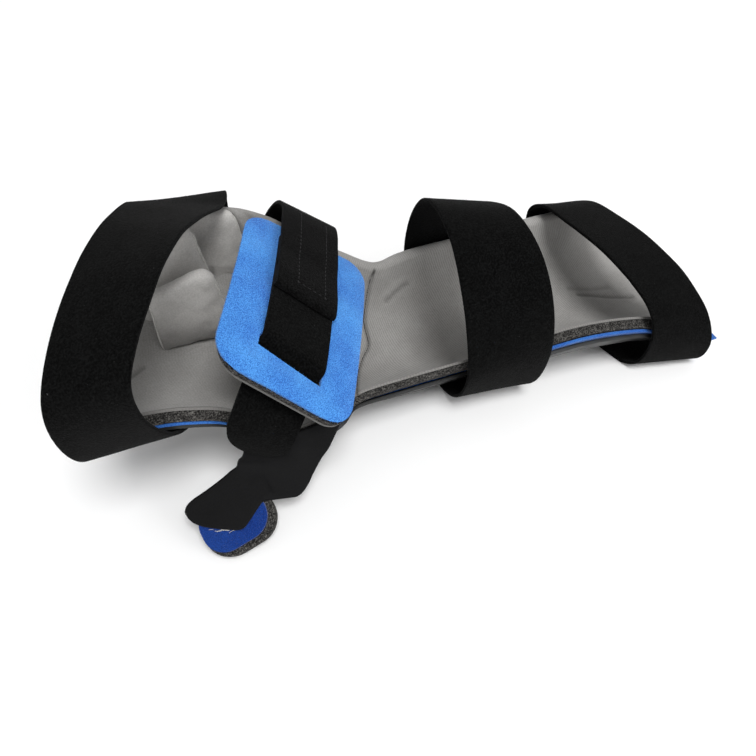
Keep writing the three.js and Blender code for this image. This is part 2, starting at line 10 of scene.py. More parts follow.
import bmesh
import bpy
import numpy as np
from bpy.props import FloatProperty, FloatVectorProperty, IntProperty, PointerProperty
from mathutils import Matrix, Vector
from mathutils.kdtree import KDTree


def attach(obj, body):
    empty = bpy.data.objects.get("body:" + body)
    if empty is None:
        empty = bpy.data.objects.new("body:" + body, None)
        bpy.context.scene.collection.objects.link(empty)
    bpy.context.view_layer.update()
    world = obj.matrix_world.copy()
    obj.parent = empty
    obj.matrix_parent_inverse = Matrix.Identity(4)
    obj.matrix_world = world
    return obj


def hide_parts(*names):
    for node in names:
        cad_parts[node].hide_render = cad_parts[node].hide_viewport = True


bl_info = {
    "name": "Resting Hand Splint",
    "version": (1, 0, 0),
    "blender": (4, 5, 0),
    "location": "3D View > Sidebar > Splint",
    "description": "Cloth, foam, straps and moulded shell of a resting hand splint",
    "category": "Object",
}

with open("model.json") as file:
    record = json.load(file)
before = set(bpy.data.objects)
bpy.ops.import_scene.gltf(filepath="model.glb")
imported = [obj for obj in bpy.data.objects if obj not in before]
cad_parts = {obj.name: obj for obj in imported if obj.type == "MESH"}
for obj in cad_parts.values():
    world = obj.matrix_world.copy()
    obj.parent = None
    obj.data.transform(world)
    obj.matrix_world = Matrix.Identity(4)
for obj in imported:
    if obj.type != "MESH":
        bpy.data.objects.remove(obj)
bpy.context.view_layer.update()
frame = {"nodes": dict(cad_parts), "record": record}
MM = 0.001
BODY = "root"
REST_FACE_DRAWN = np.array((0.0, 4.0, 0.0))
SHIFT = np.array(frame["record"]["mounts"][0]["pos_m"]) - REST_FACE_DRAWN * MM

# Layers of the liner: thicknesses, depths under the lining's visible face and insets, in millimetres
GAP = 0.3
LINING = 1.4
FOAM = 5.6
BACKING = 1.8
SHELL = 2.4
STRAP = 2.0
FOAM_TOP = LINING + GAP
BACKING_TOP = FOAM_TOP + FOAM + GAP
SHELL_TOP = BACKING_TOP + BACKING + GAP
BACKING_INSET = 2.0
SHELL_INSET = 5.0
CORNER_RADIUS = 20.0
HALF_ARC = 62.0

# Sections of the lining's face, elbow to fingertips: near lip, lowest point, far lip, turns in degrees
SECTIONS = (
    ((143, -57, 29), (143, -5, 15.6), (143, 57, 49.5), (52, 90)),
    ((122, -51, 36), (122, -3, 15.4), (122, 53, 57), (58, 94)),
    ((98, -45, 42), (98, -2, 15.2), (98, 47, 63.5), (60, 98)),
    ((60, -41, 46), (60, 0, 15.2), (60, 43, 66), (60, 101)),
    ((20, -40, 46), (20, 0, 15.2), (20, 42, 65.5), (48, 102)),
    ((-20, -40, 45), (-20, 0, 15), (-20, 42, 65), (42, 101)),
    ((-58, -40, 46), (-54, 4, 13.1), (-44, 43, 62), (42, 97)),
    ((-90, -41, 46), (-82, 9, 13), (-66, 50, 75), (44, 92)),
    ((-116, -47, 41), (-106, 7, 25), (-90, 55, 94), (45, 88)),
    ((-137, -48, 45), (-128, 2, 41), (-106, 59, 106), (32, 85)),
    ((-158, -45, 65), (-150, 0, 56), (-124, 61, 114), (36, 82)),
    ((-180, -43, 74), (-177, 2, 64), (-152, 64, 117), (42, 82)),
    ((-202, -40, 76), (-201, 5, 65), (-180, 66, 110), (46, 80)),
    ((-228, -34, 74), (-226, 10, 63), (-208, 66, 100), (48, 78)),
)
NEAR_LIP, KEEL, FAR_LIP, TURNS = (np.array(column, float) for column in zip(*SECTIONS))

# Strap loops: x of both edges, their lean along y and its limit, then y and z of the left and right edge
STRAP_LOOPS = {
    "wrist_strap": {
        "x": (-22, 25), "lean": (0.08, 0), "limit": 60,
        "outline": (
            (30, 0, 31, 0), (-16, 0, -28, 0), (-39, 13, -48, 15), (-51, 39, -57, 44), (-44, 67, -54, 68),
            (-31, 90, -41, 91), (-12, 110, -22, 105), (9, 117, 2, 110), (29, 113, 28, 101),
            (46, 95, 47, 86), (57, 66, 57.5, 65), (56, 38, 56.5, 38), (47, 13, 48, 13),
        ),
    },
    "forearm_strap": {
        "x": (90, 134.5), "lean": (-0.2, -0.15), "limit": 60,
        "outline": (
            (28, 0, 32, 0), (-42, 0, -53, 0), (-55, 10, -65, 7), (-58, 35, -68, 23), (-50, 51, -58, 41),
            (-32, 62, -36, 55), (-6, 70, -6, 64), (24, 74, 24, 67), (48, 75, 52, 65),
            (60.5, 65, 70, 52), (58, 36, 64, 29), (46, 11, 50, 8),
        ),
    },
    "finger_strap": {
        "x": (-206, -158), "lean": (0.5, 0.6), "limit": 58,
        "outline": (
            (8, 46, 8, 39.5), (-24, 49, -22, 46), (-48, 62, -46, 60), (-59, 90, -66, 98),
            (-56, 112, -65, 121), (-38, 127, -42, 136), (-10, 137, -10, 144), (18, 140, 16, 138.5),
            (50, 134, 47, 124.5), (77, 116.5, 77, 114.5), (80, 88, 76, 90), (50, 56, 49, 53),
        ),
    },
}

# Palm pad: centre, directions and sizes
PAD_CENTRE = np.array((-113.5, -16.5, 91.7))
PAD_TO_FINGERS = np.array((-0.746, 0.273, 0.608))
PAD_TO_FAR = np.array((0.437, 0.889, 0.138))
PAD_ALONG = 77.0
PAD_ACROSS = 107.0
PAD_TAPER = 0.07
PAD_CORNER = 14.0
PAD_DROP = 3.0
PAD_FACE = 1.8
PAD_FOAM_TOP = 2.5
PAD_FOAM = 2.6
PAD_BACK = 1.0
PAD_SLOT = {"across": -33.6, "width": 6.5, "length": 36.6, "turn": 0.2}
PALM_STRAP_WIDTH = 36.0

# Routes of the palm strap over the pad: across, height, shift to the fingers, lead of the finger edge
PALM_STRAP_ROUTE = (
    (40, 4.8, 1.2, 0.05), (20, 6, 0.7, 0.07), (-6, 6.4, 0, 0.12), (-24, 5.8, -0.4, 0.19),
    (-29.4, 4.6, -0.6, 0.2), (-32.6, -0.4, -0.6, 0.2), (-35.8, -6, -0.6, 0.2), (-42, -10, -2.4, 0.16),
    (-50, -16.6, -3.4, 0.08), (-56.4, -26, -5.4, 0), (-59.3, -36.2, -8.1, -0.08),
    (-58.8, -46.2, -11.4, -0.16),
)
# The overlap starts under its own folded hem
PALM_OVERLAP_ROUTE = (
    (15, 8.5, 0.8, 0.07), (9, 8.6, 0.7, 0.08), (4, 8.7, 0.6, 0.09), (1.4, 9, 0.5, 0.09),
    (0.6, 9.9, 0.5, 0.09), (1.6, 10.7, 0.5, 0.09), (5, 10.9, 0.6, 0.09), (12, 10.6, 0.8, 0.08),
    (20, 9.4, 1.1, 0.06), (29, 8.2, 1.4, 0.04), (40, 7.6, 1.8, 0.02), (54, 6.2, 2.6, -0.04),
    (63, 4.9, 2.9, -0.08), (71.5, 1.8, 3.1, -0.13), (79.5, -4.6, 3, -0.135), (85, -12.6, 2.6, -0.135),
    (86.6, -21.5, 2, -0.135), (84, -29, 1, -0.155), (79.5, -36.8, 0, -0.19), (72.5, -45.4, -1.5, -0.23),
)

# Thumb wing and tongue of the shell
WING_ROOT_SPAN = (0.595, 0.758)
WING_ROOT_HEIGHTS = (-0.7, -0.88)
WING_ROWS = (
    ((-112, -55.5, 28.5), (-158, -51.5, 41.5)),
    ((-119, -60, 25), (-159.5, -52, 36.5)),
    ((-127, -66, 20), (-163, -53, 31.6)),
    ((-134.4, -73.4, 15.5), (-161.7, -71.4, 22.2)),
)
THUMB_ROOT = np.array((-155.9, -62.1, 28.95))
THUMB_ALONG = np.array((-0.952, -0.049, -0.303))
THUMB_DOWN = np.array((0.178, -0.892, -0.416))
# Tongue rows: place along the thumb, upper edge, lower edge, height over the thumb's plane
TONGUE_ROWS = (
    (-3, -6, 11, -4.2), (3, -10, 12.5, -1.8), (8, -10.4, 15, -0.2), (13, -9.5, 17.6, 0), (19, -8.6, 19.3, 0),
    (27, -7.8, 14.4, 0), (34.5, -7.2, 8.6, 0), (38.6, -5.6, 4, 0), (40.3, -3.6, 0, 0),
)
THUMB_PAD = {
    "along": 19.0, "down": 14.0, "length": 39.0, "width": 31.0, "corner": 14.0, "face": 1.8, "trim": 3.4,
}

# Seam across the wrist and creases of the lining, as places along and across the trough
WRIST_SEAM = (
    (0.4578, 1.0), (0.4649, 0.938), (0.4764, 0.776), (0.4893, 0.521), (0.4893, 0.436),
    (0.4850, 0.266), (0.5021, 0.097), (0.52, -0.3), (0.5336, -0.761), (0.54, -1.0),
)
CREASES = (
    {"line": ((0.4392, 0.629), (0.415, 0.68), (0.392, 0.714)), "width": 1.6, "depth": 0.7},
    {"line": ((0.1502, 0.181), (0.09, 0.08), (0.0358, 0.019)), "width": 1.8, "depth": 1.0},
    {"line": ((0.16, 0.26), (0.12, 0.2), (0.07, 0.17)), "width": 2.4, "depth": 0.5},
    {"line": ((0.9256, -0.143), (0.9013, -0.019)), "width": 2.0, "depth": 0.8},
    {"line": ((0.7754, 0.99), (0.7697, 0.93), (0.7597, 0.853), (0.748, 0.78)), "width": 1.8, "depth": 1.3},
    {"line": ((0.74, 0.97), (0.72, 0.93), (0.7, 0.92)), "width": 2.4, "depth": 0.7},
)

# Seeds of the random draws, where like pieces count on from the first
SEEDS = {
    "tab wrinkles": 20, "pad waves": 31, "strap waves": 60, "loose threads": 71,
    "strap nap": 80, "palm strap nap": 90, "palm pad nap": 95, "thumb pad nap": 96,
}


class SplintSizes(bpy.types.PropertyGroup):
    """Sizes of the splint's soft details that a user would change."""

    seam_depth: FloatProperty(
        name="Wrist seam depth", description="How deep the seam across the wrist pulls in the lining",
        default=2.0 * MM, min=0.0, unit="LENGTH")
    ripple: FloatProperty(
        name="Lining ripple", description="Height of the soft waves in the padded lining",
        default=0.5 * MM, min=0.0, unit="LENGTH")
    plush_swell: FloatProperty(
        name="Plush swell", description="How far the palm pad's plush stands up beside its strap",
        default=1.2 * MM, min=0.0, unit="LENGTH")
    stitch_pitch: FloatProperty(
        name="Stitch pitch", description="Distance from one stitch to the next",
        default=3.0 * MM, min=0.5 * MM, unit="LENGTH")
    grid_rows: IntProperty(
        name="Rows along", description="Rows of faces along the trough", default=280, min=40)
    grid_columns: IntProperty(
        name="Columns across", description="Columns of faces across the trough", default=96, min=20)


def colour_property(name, description, default):
    """Colour that a user may change."""
    return FloatVectorProperty(
        name=name, description=description, default=default, size=4, min=0.0, max=1.0, subtype="COLOR")


class SplintColours(bpy.types.PropertyGroup):
    """Colours of the splint's finishes."""

    lining: colour_property("Lining", "Lit threads of the grey knit lining", (0.37, 0.362, 0.35, 1))
    lining_shade: colour_property("Lining shade", "Gaps of the grey knit lining", (0.24, 0.235, 0.226, 1))
    plush: colour_property("Plush", "Lit loops of the palm pad's plush", (0.088, 0.335, 0.8, 1))
    plush_shade: colour_property("Plush shade", "Depth of the palm pad's plush", (0.02, 0.105, 0.43, 1))
    backing: colour_property("Backing", "Lit loops of the liner's backing", (0.05, 0.19, 0.56, 1))
    backing_shade: colour_property("Backing shade", "Depth of the liner's backing", (0.014, 0.065, 0.3, 1))
    loop: colour_property("Loop cloth", "Lit loops of the darker blue loop cloth", (0.015, 0.06, 0.29, 1))
    loop_shade: colour_property("Loop shade", "Depth of the darker blue loop cloth", (0.006, 0.026, 0.15, 1))
    # Paler than the lining: partly the separators' own cloth, partly painted light that lifts their upright
    # faces
    brushed: colour_property("Brushed cloth", "Lit nap of the finger separators", (0.6, 0.585, 0.565, 1))
    brushed_shade: colour_property("Brushed shade", "Depth of the separators' nap", (0.42, 0.41, 0.395, 1))
    strap: colour_property("Strap", "Lit pile of the black straps", (0.0056, 0.0058, 0.0058, 1))
    strap_shade: colour_property("Strap shade", "Depth of the black straps", (0.0008, 0.0008, 0.0008, 1))
    foam: colour_property("Foam", "Cut cells of the charcoal foam", (0.045, 0.043, 0.041, 1))
    foam_shade: colour_property("Foam shade", "Open cells of the charcoal foam", (0.006, 0.0055, 0.0055, 1))
    foam_speck: colour_property("Foam speck", "Pale crumbs in the charcoal foam", (0.15, 0.145, 0.135, 1))
    shell: colour_property("Shell", "Moulded shell", (0.014, 0.0145, 0.0145, 1))
    cover: colour_property("Thumb cover", "Matte black cover of the thumb wing", (0.005, 0.005, 0.0055, 1))
    floor: colour_property("Floor", "Pale studio floor", (0.98, 0.98, 0.98, 1))


# Curves and surfaces


def hermite(start, end, start_slope, end_slope, share):
    """Cubic between two points with the given slopes."""
    s = share[..., None]
    return (
        (2 * s**3 - 3 * s**2 + 1) * start + (s**3 - 2 * s**2 + s) * start_slope
        + (-2 * s**3 + 3 * s**2) * end + (s**3 - s**2) * end_slope
    )


def smooth_curve(points, t):
    """Open curve through points, at shares t of its point count."""
    points = np.asarray(points, float)
    last = len(points) - 1
    extended = np.vstack([2 * points[0] - points[1], points, 2 * points[-1] - points[-2]])
    place = np.clip(t, 0, 1) * last
    index = np.minimum(place.astype(int), last - 1)
    before, start, end, after = (extended[index + k] for k in range(4))
    return hermite(start, end, (end - before) / 2, (after - start) / 2, place - index)


def loop_curve(points, t):
    """Closed centripetal curve through points, at shares t of its point count."""
    points = np.asarray(points, float)
    count = len(points)
    place = np.mod(t, 1) * count
    index = place.astype(int) % count
    before, start, end, after = (points[(index + k) % count] for k in (-1, 0, 1, 2))
    chord = lambda a, b: np.sqrt(np.linalg.norm(b - a, axis=-1))[..., None]
    first, middle, last = chord(before, start), chord(start, end), chord(end, after)
    leave = (start - before) / first - (end - before) / (first + middle) + (end - start) / middle
    arrive = (end - start) / middle - (after - start) / (middle + last) + (after - end) / last
    return hermite(start, end, leave * middle, arrive * middle, place - np.floor(place))


def unit(vectors):
    """Vectors at length one."""
    return vectors / np.maximum(np.linalg.norm(vectors, axis=-1, keepdims=True), 1e-12)


def hump(away, width):
    """Round hump of height one, at distances from its middle."""
    return np.exp(-((away / width) ** 2))


def trough_point(u, v):
    """Lining's visible face: u from elbow to fingers, v from near lip (-1) to far lip (1)."""
    u, v = np.broadcast_arrays(np.asarray(u, float), np.asarray(v, float))
    keel = smooth_curve(KEEL, u)
    turn = smooth_curve(TURNS, u)
    near = v < 0
    lip = np.where(near[..., None], smooth_curve(NEAR_LIP, u), smooth_curve(FAR_LIP, u))
    full = np.radians(np.where(near, turn[..., 0], turn[..., 1]))
    angle = np.abs(v) * full
    side = np.sin(angle) / np.sin(full)
    rise = (1 - np.cos(angle)) / (1 - np.cos(full))
    return keel + (lip - keel) * np.stack([side, side, rise], -1)


SLOPE_STEP = 0.004


def trough_outward(u, v):
    """Direction away from the lining's visible face."""
    low, high = np.clip(u - SLOPE_STEP, 0, 1), np.clip(u + SLOPE_STEP, 0, 1)
    along = trough_point(high, v) - trough_point(low, v)
    across = trough_point(u, v + SLOPE_STEP) - trough_point(u, v - SLOPE_STEP)
    return unit(np.cross(along, across))


def trough_at(u, v, depth):
    """Point at a depth under the lining's visible face."""
    return trough_point(u, v) + trough_outward(u, v) * np.asarray(depth)[..., None]


KEEL_STEPS = np.diff(smooth_curve(KEEL, np.linspace(0, 1, 400)), axis=0)
TROUGH_LENGTH = float(np.linalg.norm(KEEL_STEPS, axis=1).sum())


def corner_reach(u, inset):
    """Share of a half section that is left near the round corners of the two ends."""
    from_end = np.minimum(u, 1 - u) * TROUGH_LENGTH
    back = np.maximum(0, CORNER_RADIUS - from_end)
    cut = CORNER_RADIUS - np.sqrt(CORNER_RADIUS**2 - back**2)
    return 1 - (inset + cut) / HALF_ARC


# Stretch of the near edge, at the wrist, where the under layers stay behind the foam
WRIST_TUCK = {"span": (0.33, 0.565), "slope": 0.009}


def wrist_tuck(u):
    """Share of the wrist tuck at places along the trough."""
    first, last = WRIST_TUCK["span"]
    step = lambda past: 1 / (1 + np.exp(-past / WRIST_TUCK["slope"]))
    return step(u - first) * step(last - u)


# Roll of the foam over the under layers' edge there: where it is full and where it ends, its height, and
# the share of the foam's thickness that is left at the lip
FOAM_ROLL = {"full": 21.0, "end": 44.0, "height": 4.9, "lip": 0.6}


def foam_roll(u, v):
    """Share by which the under layers rise behind the foam's roll at the wrist."""
    from_lip = (v + 1) * HALF_ARC
    full, end = FOAM_ROLL["full"], FOAM_ROLL["end"]
    fade = np.clip((end - from_lip) / (end - full), 0, 1)
    return wrist_tuck(u) * fade * fade * (3 - 2 * fade)


ROW_DENSITY = {"ends": 2.5, "end_reach": 0.03, "seam": 3.5, "seam_at": 0.498, "seam_reach": 0.05}
ROW_SAMPLES = 4001


def trough_grid(rows, columns, inset, far_inset, tuck=0.0):
    """Places along and across a layer of the trough, closer together at its two ends and at the seam."""
    place = np.linspace(0, 1, ROW_SAMPLES)
    from_end = np.minimum(place, 1 - place)
    dense = 1 + ROW_DENSITY["ends"] * np.exp(-from_end / ROW_DENSITY["end_reach"])
    dense += ROW_DENSITY["seam"] * hump(place - ROW_DENSITY["seam_at"], ROW_DENSITY["seam_reach"])
    count = np.cumsum(dense) - dense[0]
    end_inset = inset / TROUGH_LENGTH
    u = end_inset + np.interp(np.linspace(0, 1, rows), count / count[-1], place) * (1 - 2 * end_inset)
    near = -corner_reach(u, inset + tuck * wrist_tuck(u))[:, None]
    far = corner_reach(u, far_inset)[:, None]
    share = np.linspace(0, 1, columns)[None, :]
    return np.broadcast_to(u[:, None], (rows, columns)), near + (far - near) * share


RIPPLE_WAVES = 9
RIPPLE_SPREAD = (0.7, 1.5)


def ripples(points, size, seed):
    """Smooth waves of about the given size in millimetres, mostly from -1 to 1."""
    spread = np.random.default_rng(seed)
    directions = unit(spread.normal(size=(RIPPLE_WAVES, 3)))
    directions = directions * spread.uniform(*RIPPLE_SPREAD, size=(RIPPLE_WAVES, 1))
    phases = spread.uniform(0, 2 * np.pi, RIPPLE_WAVES)
    waves = np.sin(points @ directions.T * (2 * np.pi / size) + phases)
    return waves.mean(axis=-1) * 2


def distance_to_line(points, line):
    """Distance of each point from a line of points."""
    best = np.full(points.shape[:-1], np.inf)
    for start, end in zip(line[:-1], line[1:]):
        span = end - start
        share = np.clip(((points - start) @ span) / (span @ span), 0, 1)
        best = np.minimum(best, np.linalg.norm(points - start - share[..., None] * span, axis=-1))
    return best


def line_on_trough(places, steps):
    """Line of points on the lining's visible face."""
    path = smooth_curve(np.array(places, float), np.linspace(0, 1, steps))
    return trough_point(path[:, 0], np.clip(path[:, 1], -1, 1))


# Meshes


def in_frame(points):
    """Drawing millimetres to metres in the frame."""
    return np.asarray(points) * MM + SHIFT


def grid_steps(points):
    """Distances in metres along and across a grid of points, for a cloth's UV map."""
    along = np.linalg.norm(np.diff(points, axis=0), axis=-1).mean(axis=1)
    across = np.linalg.norm(np.diff(points, axis=1), axis=-1).mean(axis=0)
    places = [np.concatenate([[0], np.cumsum(steps)]) * MM for steps in (along, across)]
    return np.stack(np.meshgrid(*places, indexing="ij"), -1)


def link(name, mesh):
    """Object for a mesh, in the scene."""
    obj = bpy.data.objects.new(name, mesh)
    bpy.context.scene.collection.objects.link(obj)
    return obj


def grid_object(name, points, closed_rows=False):
    """Single sheet of faces through a grid of points in drawing millimetres, with a UV map in metres."""
    rows, columns = points.shape[:2]
    around = np.concatenate([points, points[:1]]) if closed_rows else points
    places = grid_steps(around)
    mesh = bpy.data.meshes.new(name)
    faces, loops = [], []
    for i in range(rows if closed_rows else rows - 1):
        below = ((i + 1) % rows) * columns
        for j in range(columns - 1):
            faces.append((i * columns + j, below + j, below + j + 1, i * columns + j + 1))
            loops.extend((places[i, j], places[i + 1, j], places[i + 1, j + 1], places[i, j + 1]))
    mesh.from_pydata(in_frame(points).reshape(-1, 3).tolist(), [], faces)
    layer = mesh.uv_layers.new(name="cloth")
    layer.data.foreach_set("uv", np.array(loops).ravel())
    mesh.shade_smooth()
    return link(name, mesh)


def settle(obj):
    """Applies an object's modifiers to its mesh."""
    graph = bpy.context.evaluated_depsgraph_get()
    old = obj.data
    mesh = bpy.data.meshes.new_from_object(
        obj.evaluated_get(graph), preserve_all_data_layers=True, depsgraph=graph)
    obj.modifiers.clear()
    obj.data = mesh
    mesh.name = obj.name
    bpy.data.meshes.remove(old)
    return obj


ROUND_EDGE = {"segments": 3, "angle": math.radians(50)}
SHARP_ANGLE = math.radians(55)


def thicken(obj, thickness, side, rounding, shares=None):
    """Gives a sheet its thickness in millimetres to one side of its faces (-1 to 1), with round edges.

    Shares hold the part of that thickness which each point of the sheet has."""
    wall = obj.modifiers.new("wall", "SOLIDIFY")
    if shares is not None:
        group = obj.vertex_groups.new(name="thickness")
        for index, share in enumerate(np.ravel(shares)):
            group.add([index], float(share), "REPLACE")
        wall.vertex_group = group.name
    wall.thickness = thickness * MM
    wall.offset = side
    wall.use_even_offset = True
    edge = obj.modifiers.new("edge", "BEVEL")
    edge.width = rounding * MM
    edge.segments = ROUND_EDGE["segments"]
    edge.limit_method = "ANGLE"
    edge.angle_limit = ROUND_EDGE["angle"]
    settle(obj)
    outward(obj)
    obj.data.shade_smooth()
    return obj


def outward(obj):
    """Turns all faces of a closed piece outwards."""
    work = bmesh.new()
    work.from_mesh(obj.data)
    bmesh.ops.recalc_face_normals(work, faces=work.faces)
    if work.calc_volume(signed=True) < 0:
        bmesh.ops.reverse_faces(work, faces=work.faces)
    work.to_mesh(obj.data)
    work.free()


def side_against(obj, direction):
    """Side for a sheet's thickness, -1 or 1, that lies against a direction."""
    return -1 if np.dot(np.array(obj.data.polygons[0].normal), direction) > 0 else 1


def cut(obj, cutter):
    """Takes a cutter's space out of a piece."""
    knife = obj.modifiers.new("cut", "BOOLEAN")
    knife.operation = "DIFFERENCE"
    knife.solver = "EXACT"
    knife.object = cutter
    settle(obj)
    bpy.data.objects.remove(cutter)
    obj.data.shade_smooth()
    obj.data.set_sharp_from_angle(angle=SHARP_ANGLE)
    return obj


def refined(obj, levels):
    """Subdivides a piece into a smoother one."""
    fine = obj.modifiers.new("fine", "SUBSURF")
    fine.levels = levels
    fine.render_levels = levels
    settle(obj)
    obj.data.shade_smooth()
    return obj


MELT_SOFTNESS = 0.5


def voxel_form(obj, voxel, smoothing):
    """Melts a piece's walls into one closed form, with cells in millimetres and rounds of smoothing."""
    melt = obj.modifiers.new("melt", "REMESH")
    melt.mode = "VOXEL"
    melt.voxel_size = voxel * MM
    soft = obj.modifiers.new("soft", "SMOOTH")
    soft.factor = MELT_SOFTNESS
    soft.iterations = smoothing
    settle(obj)
    obj.data.shade_smooth()
    return obj


def joined(name, *parts):
    """One object from several finished meshes."""
    work = bmesh.new()
    for part in parts:
        work.from_mesh(part.data)
        bpy.data.objects.remove(part)
    mesh = bpy.data.meshes.new(name)
    work.to_mesh(mesh)
    work.free()
    return link(name, mesh)


def mount_piece(obj, material, slot, *nodes):
    """Gives a finished piece its material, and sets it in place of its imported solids."""
    obj.data.materials.clear()
    obj.data.materials.append(material)
    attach(obj, BODY)
    if nodes:
        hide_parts(*nodes)
    return obj


# Geometry trees


def empty_tree(name, sockets):
    """Geometry tree with named inputs, its input node and its output node."""
    tree = bpy.data.node_groups.new(name, "GeometryNodeTree")
    tree.interface.new_socket("Mesh", in_out="INPUT", socket_type="NodeSocketGeometry")
    for label, kind in sockets:
        tree.interface.new_socket(label, in_out="INPUT", socket_type=f"NodeSocket{kind}")
    tree.interface.new_socket("Mesh", in_out="OUTPUT", socket_type="NodeSocketGeometry")
    return tree, tree.nodes.new("NodeGroupInput"), tree.nodes.new("NodeGroupOutput")


def closed_tree(tree, given, end, last):
    """Ends a tree: real meshes with the given material."""
    real = tree.nodes.new("GeometryNodeRealizeInstances")
    dressed = tree.nodes.new("GeometryNodeSetMaterial")
    tree.links.new(last, real.inputs[0])
    tree.links.new(real.outputs[0], dressed.inputs["Geometry"])
    tree.links.new(given.outputs["Material"], dressed.inputs["Material"])
    tree.links.new(dressed.outputs[0], end.inputs[0])
    return tree


def stitch_tree():
    """Stitches at an even pitch along lines."""
    sockets = (("Pitch", "Float"), ("Stitch", "Vector"), ("Material", "Material"))
    tree, given, end = empty_tree("sewn line", sockets)
    new, join = tree.nodes.new, tree.links.new
    curve, spaced = new("GeometryNodeMeshToCurve"), new("GeometryNodeResampleCurve")
    spaced.mode = "LENGTH"
    bead, copies = new("GeometryNodeMeshUVSphere"), new("GeometryNodeInstanceOnPoints")
    bead.inputs["Segments"].default_value = 6
    bead.inputs["Rings"].default_value = 4
    tangent, turned = new("GeometryNodeInputTangent"), new("FunctionNodeAlignRotationToVector")
    turned.axis = "X"
    join(given.outputs["Mesh"], curve.inputs["Mesh"])
    join(curve.outputs["Curve"], spaced.inputs["Curve"])
    join(given.outputs["Pitch"], spaced.inputs["Length"])
    join(spaced.outputs["Curve"], copies.inputs["Points"])
    join(bead.outputs["Mesh"], copies.inputs["Instance"])
    join(tangent.outputs[0], turned.inputs["Vector"])
    join(turned.outputs[0], copies.inputs["Rotation"])
    join(given.outputs["Stitch"], copies.inputs["Scale"])
    return closed_tree(tree, given, end, copies.outputs[0])


def thread_tree():
    """Round threads along lines."""
    tree, given, end = empty_tree("thread", (("Radius", "Float"), ("Material", "Material")))
    new, join = tree.nodes.new, tree.links.new
    curve, ring = new("GeometryNodeMeshToCurve"), new("GeometryNodeCurvePrimitiveCircle")
    tube = new("GeometryNodeCurveToMesh")
    ring.inputs["Resolution"].default_value = 6
    tube.inputs["Fill Caps"].default_value = True
    join(given.outputs["Mesh"], curve.inputs["Mesh"])
    join(given.outputs["Radius"], ring.inputs["Radius"])
    join(curve.outputs["Curve"], tube.inputs["Curve"])
    join(ring.outputs["Curve"], tube.inputs["Profile Curve"])
    return closed_tree(tree, given, end, tube.outputs[0])


# Shortest and longest fibre as shares of the nap's length
NAP_LENGTHS = (0.5, 1.0)


def nap_tree():
    """Short fibres that stand on a surface and lean all ways."""
    sockets = (
        ("Density", "Float"), ("Length", "Float"), ("Radius", "Float"), ("Lean", "Float"), ("Seed", "Int"),
        ("Material", "Material"),
    )
    tree, given, end = empty_tree("nap", sockets)
    new, join = tree.nodes.new, tree.links.new
    roots, fibre = new("GeometryNodeDistributePointsOnFaces"), new("GeometryNodeMeshCone")
    copies, leaning = new("GeometryNodeInstanceOnPoints"), new("FunctionNodeRotateRotation")
    leaning.rotation_space = "LOCAL"
    fibre.inputs["Vertices"].default_value = 3
    fibre.inputs["Radius Top"].default_value = 0.0
    amounts, angle = new("FunctionNodeRandomValue"), new("FunctionNodeEulerToRotation")
    amounts.data_type = "FLOAT_VECTOR"
    low, lengths = new("ShaderNodeVectorMath"), new("FunctionNodeRandomValue")
    low.operation = "SCALE"
    low.inputs[0].default_value = (-1, -1, -1)
    for socket, share in zip((2, 3), NAP_LENGTHS):
        lengths.inputs[socket].default_value = share
    join(given.outputs["Mesh"], roots.inputs["Mesh"])
    join(given.outputs["Density"], roots.inputs["Density"])
    join(given.outputs["Seed"], roots.inputs["Seed"])
    join(given.outputs["Length"], fibre.inputs["Depth"])
    join(given.outputs["Radius"], fibre.inputs["Radius Bottom"])
    join(given.outputs["Lean"], low.inputs["Scale"])
    join(low.outputs[0], amounts.inputs["Min"])
    join(given.outputs["Lean"], amounts.inputs["Max"])
    for spread in (amounts, lengths):
        join(given.outputs["Seed"], spread.inputs["Seed"])
    join(amounts.outputs[0], angle.inputs[0])
    join(roots.outputs["Rotation"], leaning.inputs["Rotation"])
    join(angle.outputs[0], leaning.inputs["Rotate By"])
    join(roots.outputs["Points"], copies.inputs["Points"])
    join(fibre.outputs["Mesh"], copies.inputs["Instance"])
    join(leaning.outputs[0], copies.inputs["Rotation"])
    join(lengths.outputs[1], copies.inputs["Scale"])
    return closed_tree(tree, given, end, copies.outputs[0])


def tree_for(maker):
    """Geometry tree by its maker, built at its first use."""
    if maker not in tree_for.made:
        tree_for.made[maker] = maker()
    return tree_for.made[maker]


tree_for.made = {}


def grown(obj, maker, **values):
    """Runs a geometry tree on a mesh with the given inputs, and keeps what it makes."""
    tree = tree_for(maker)
    modifier = obj.modifiers.new(tree.name, "NODES")
    modifier.node_group = tree
    for socket in tree.interface.items_tree:
        key = socket.name.lower()
        if socket.in_out == "INPUT" and key in values:
            modifier[socket.identifier] = values[key]
    return settle(obj)


def lines_object(name, lines):
    """Mesh of bare lines through points in drawing millimetres."""
    points, edges = [], []
    for line in lines:
        first = len(points)
        points.extend(in_frame(line).tolist())
        edges.extend((k, k + 1) for k in range(first, len(points) - 1))
    mesh = bpy.data.meshes.new(name)
    mesh.from_pydata(points, edges, [])
    return link(name, mesh)


def sewn(name, lines, pitch, stitch, material, slot):
    """Stitches of a size, all in millimetres, along lines."""
    obj = grown(
        lines_object(name, lines), stitch_tree, pitch=pitch * MM, stitch=[size * MM for size in stitch],
        material=material)
    obj.data.shade_smooth()
    return mount_piece(obj, material, slot)


def threads(name, lines, radius, material, slot):
    """Threads of a radius in millimetres along lines."""
    obj = grown(lines_object(name, lines), thread_tree, radius=radius * MM, material=material)
    obj.data.shade_smooth()
    outward(obj)
    return mount_piece(obj, material, slot)


# Height in millimetres under which a piece has no fibres, and their lean in radians
NAP_FLOOR = 1.5
NAP_LEAN = 0.7
PER_SQUARE_CENTIMETRE = 1e4


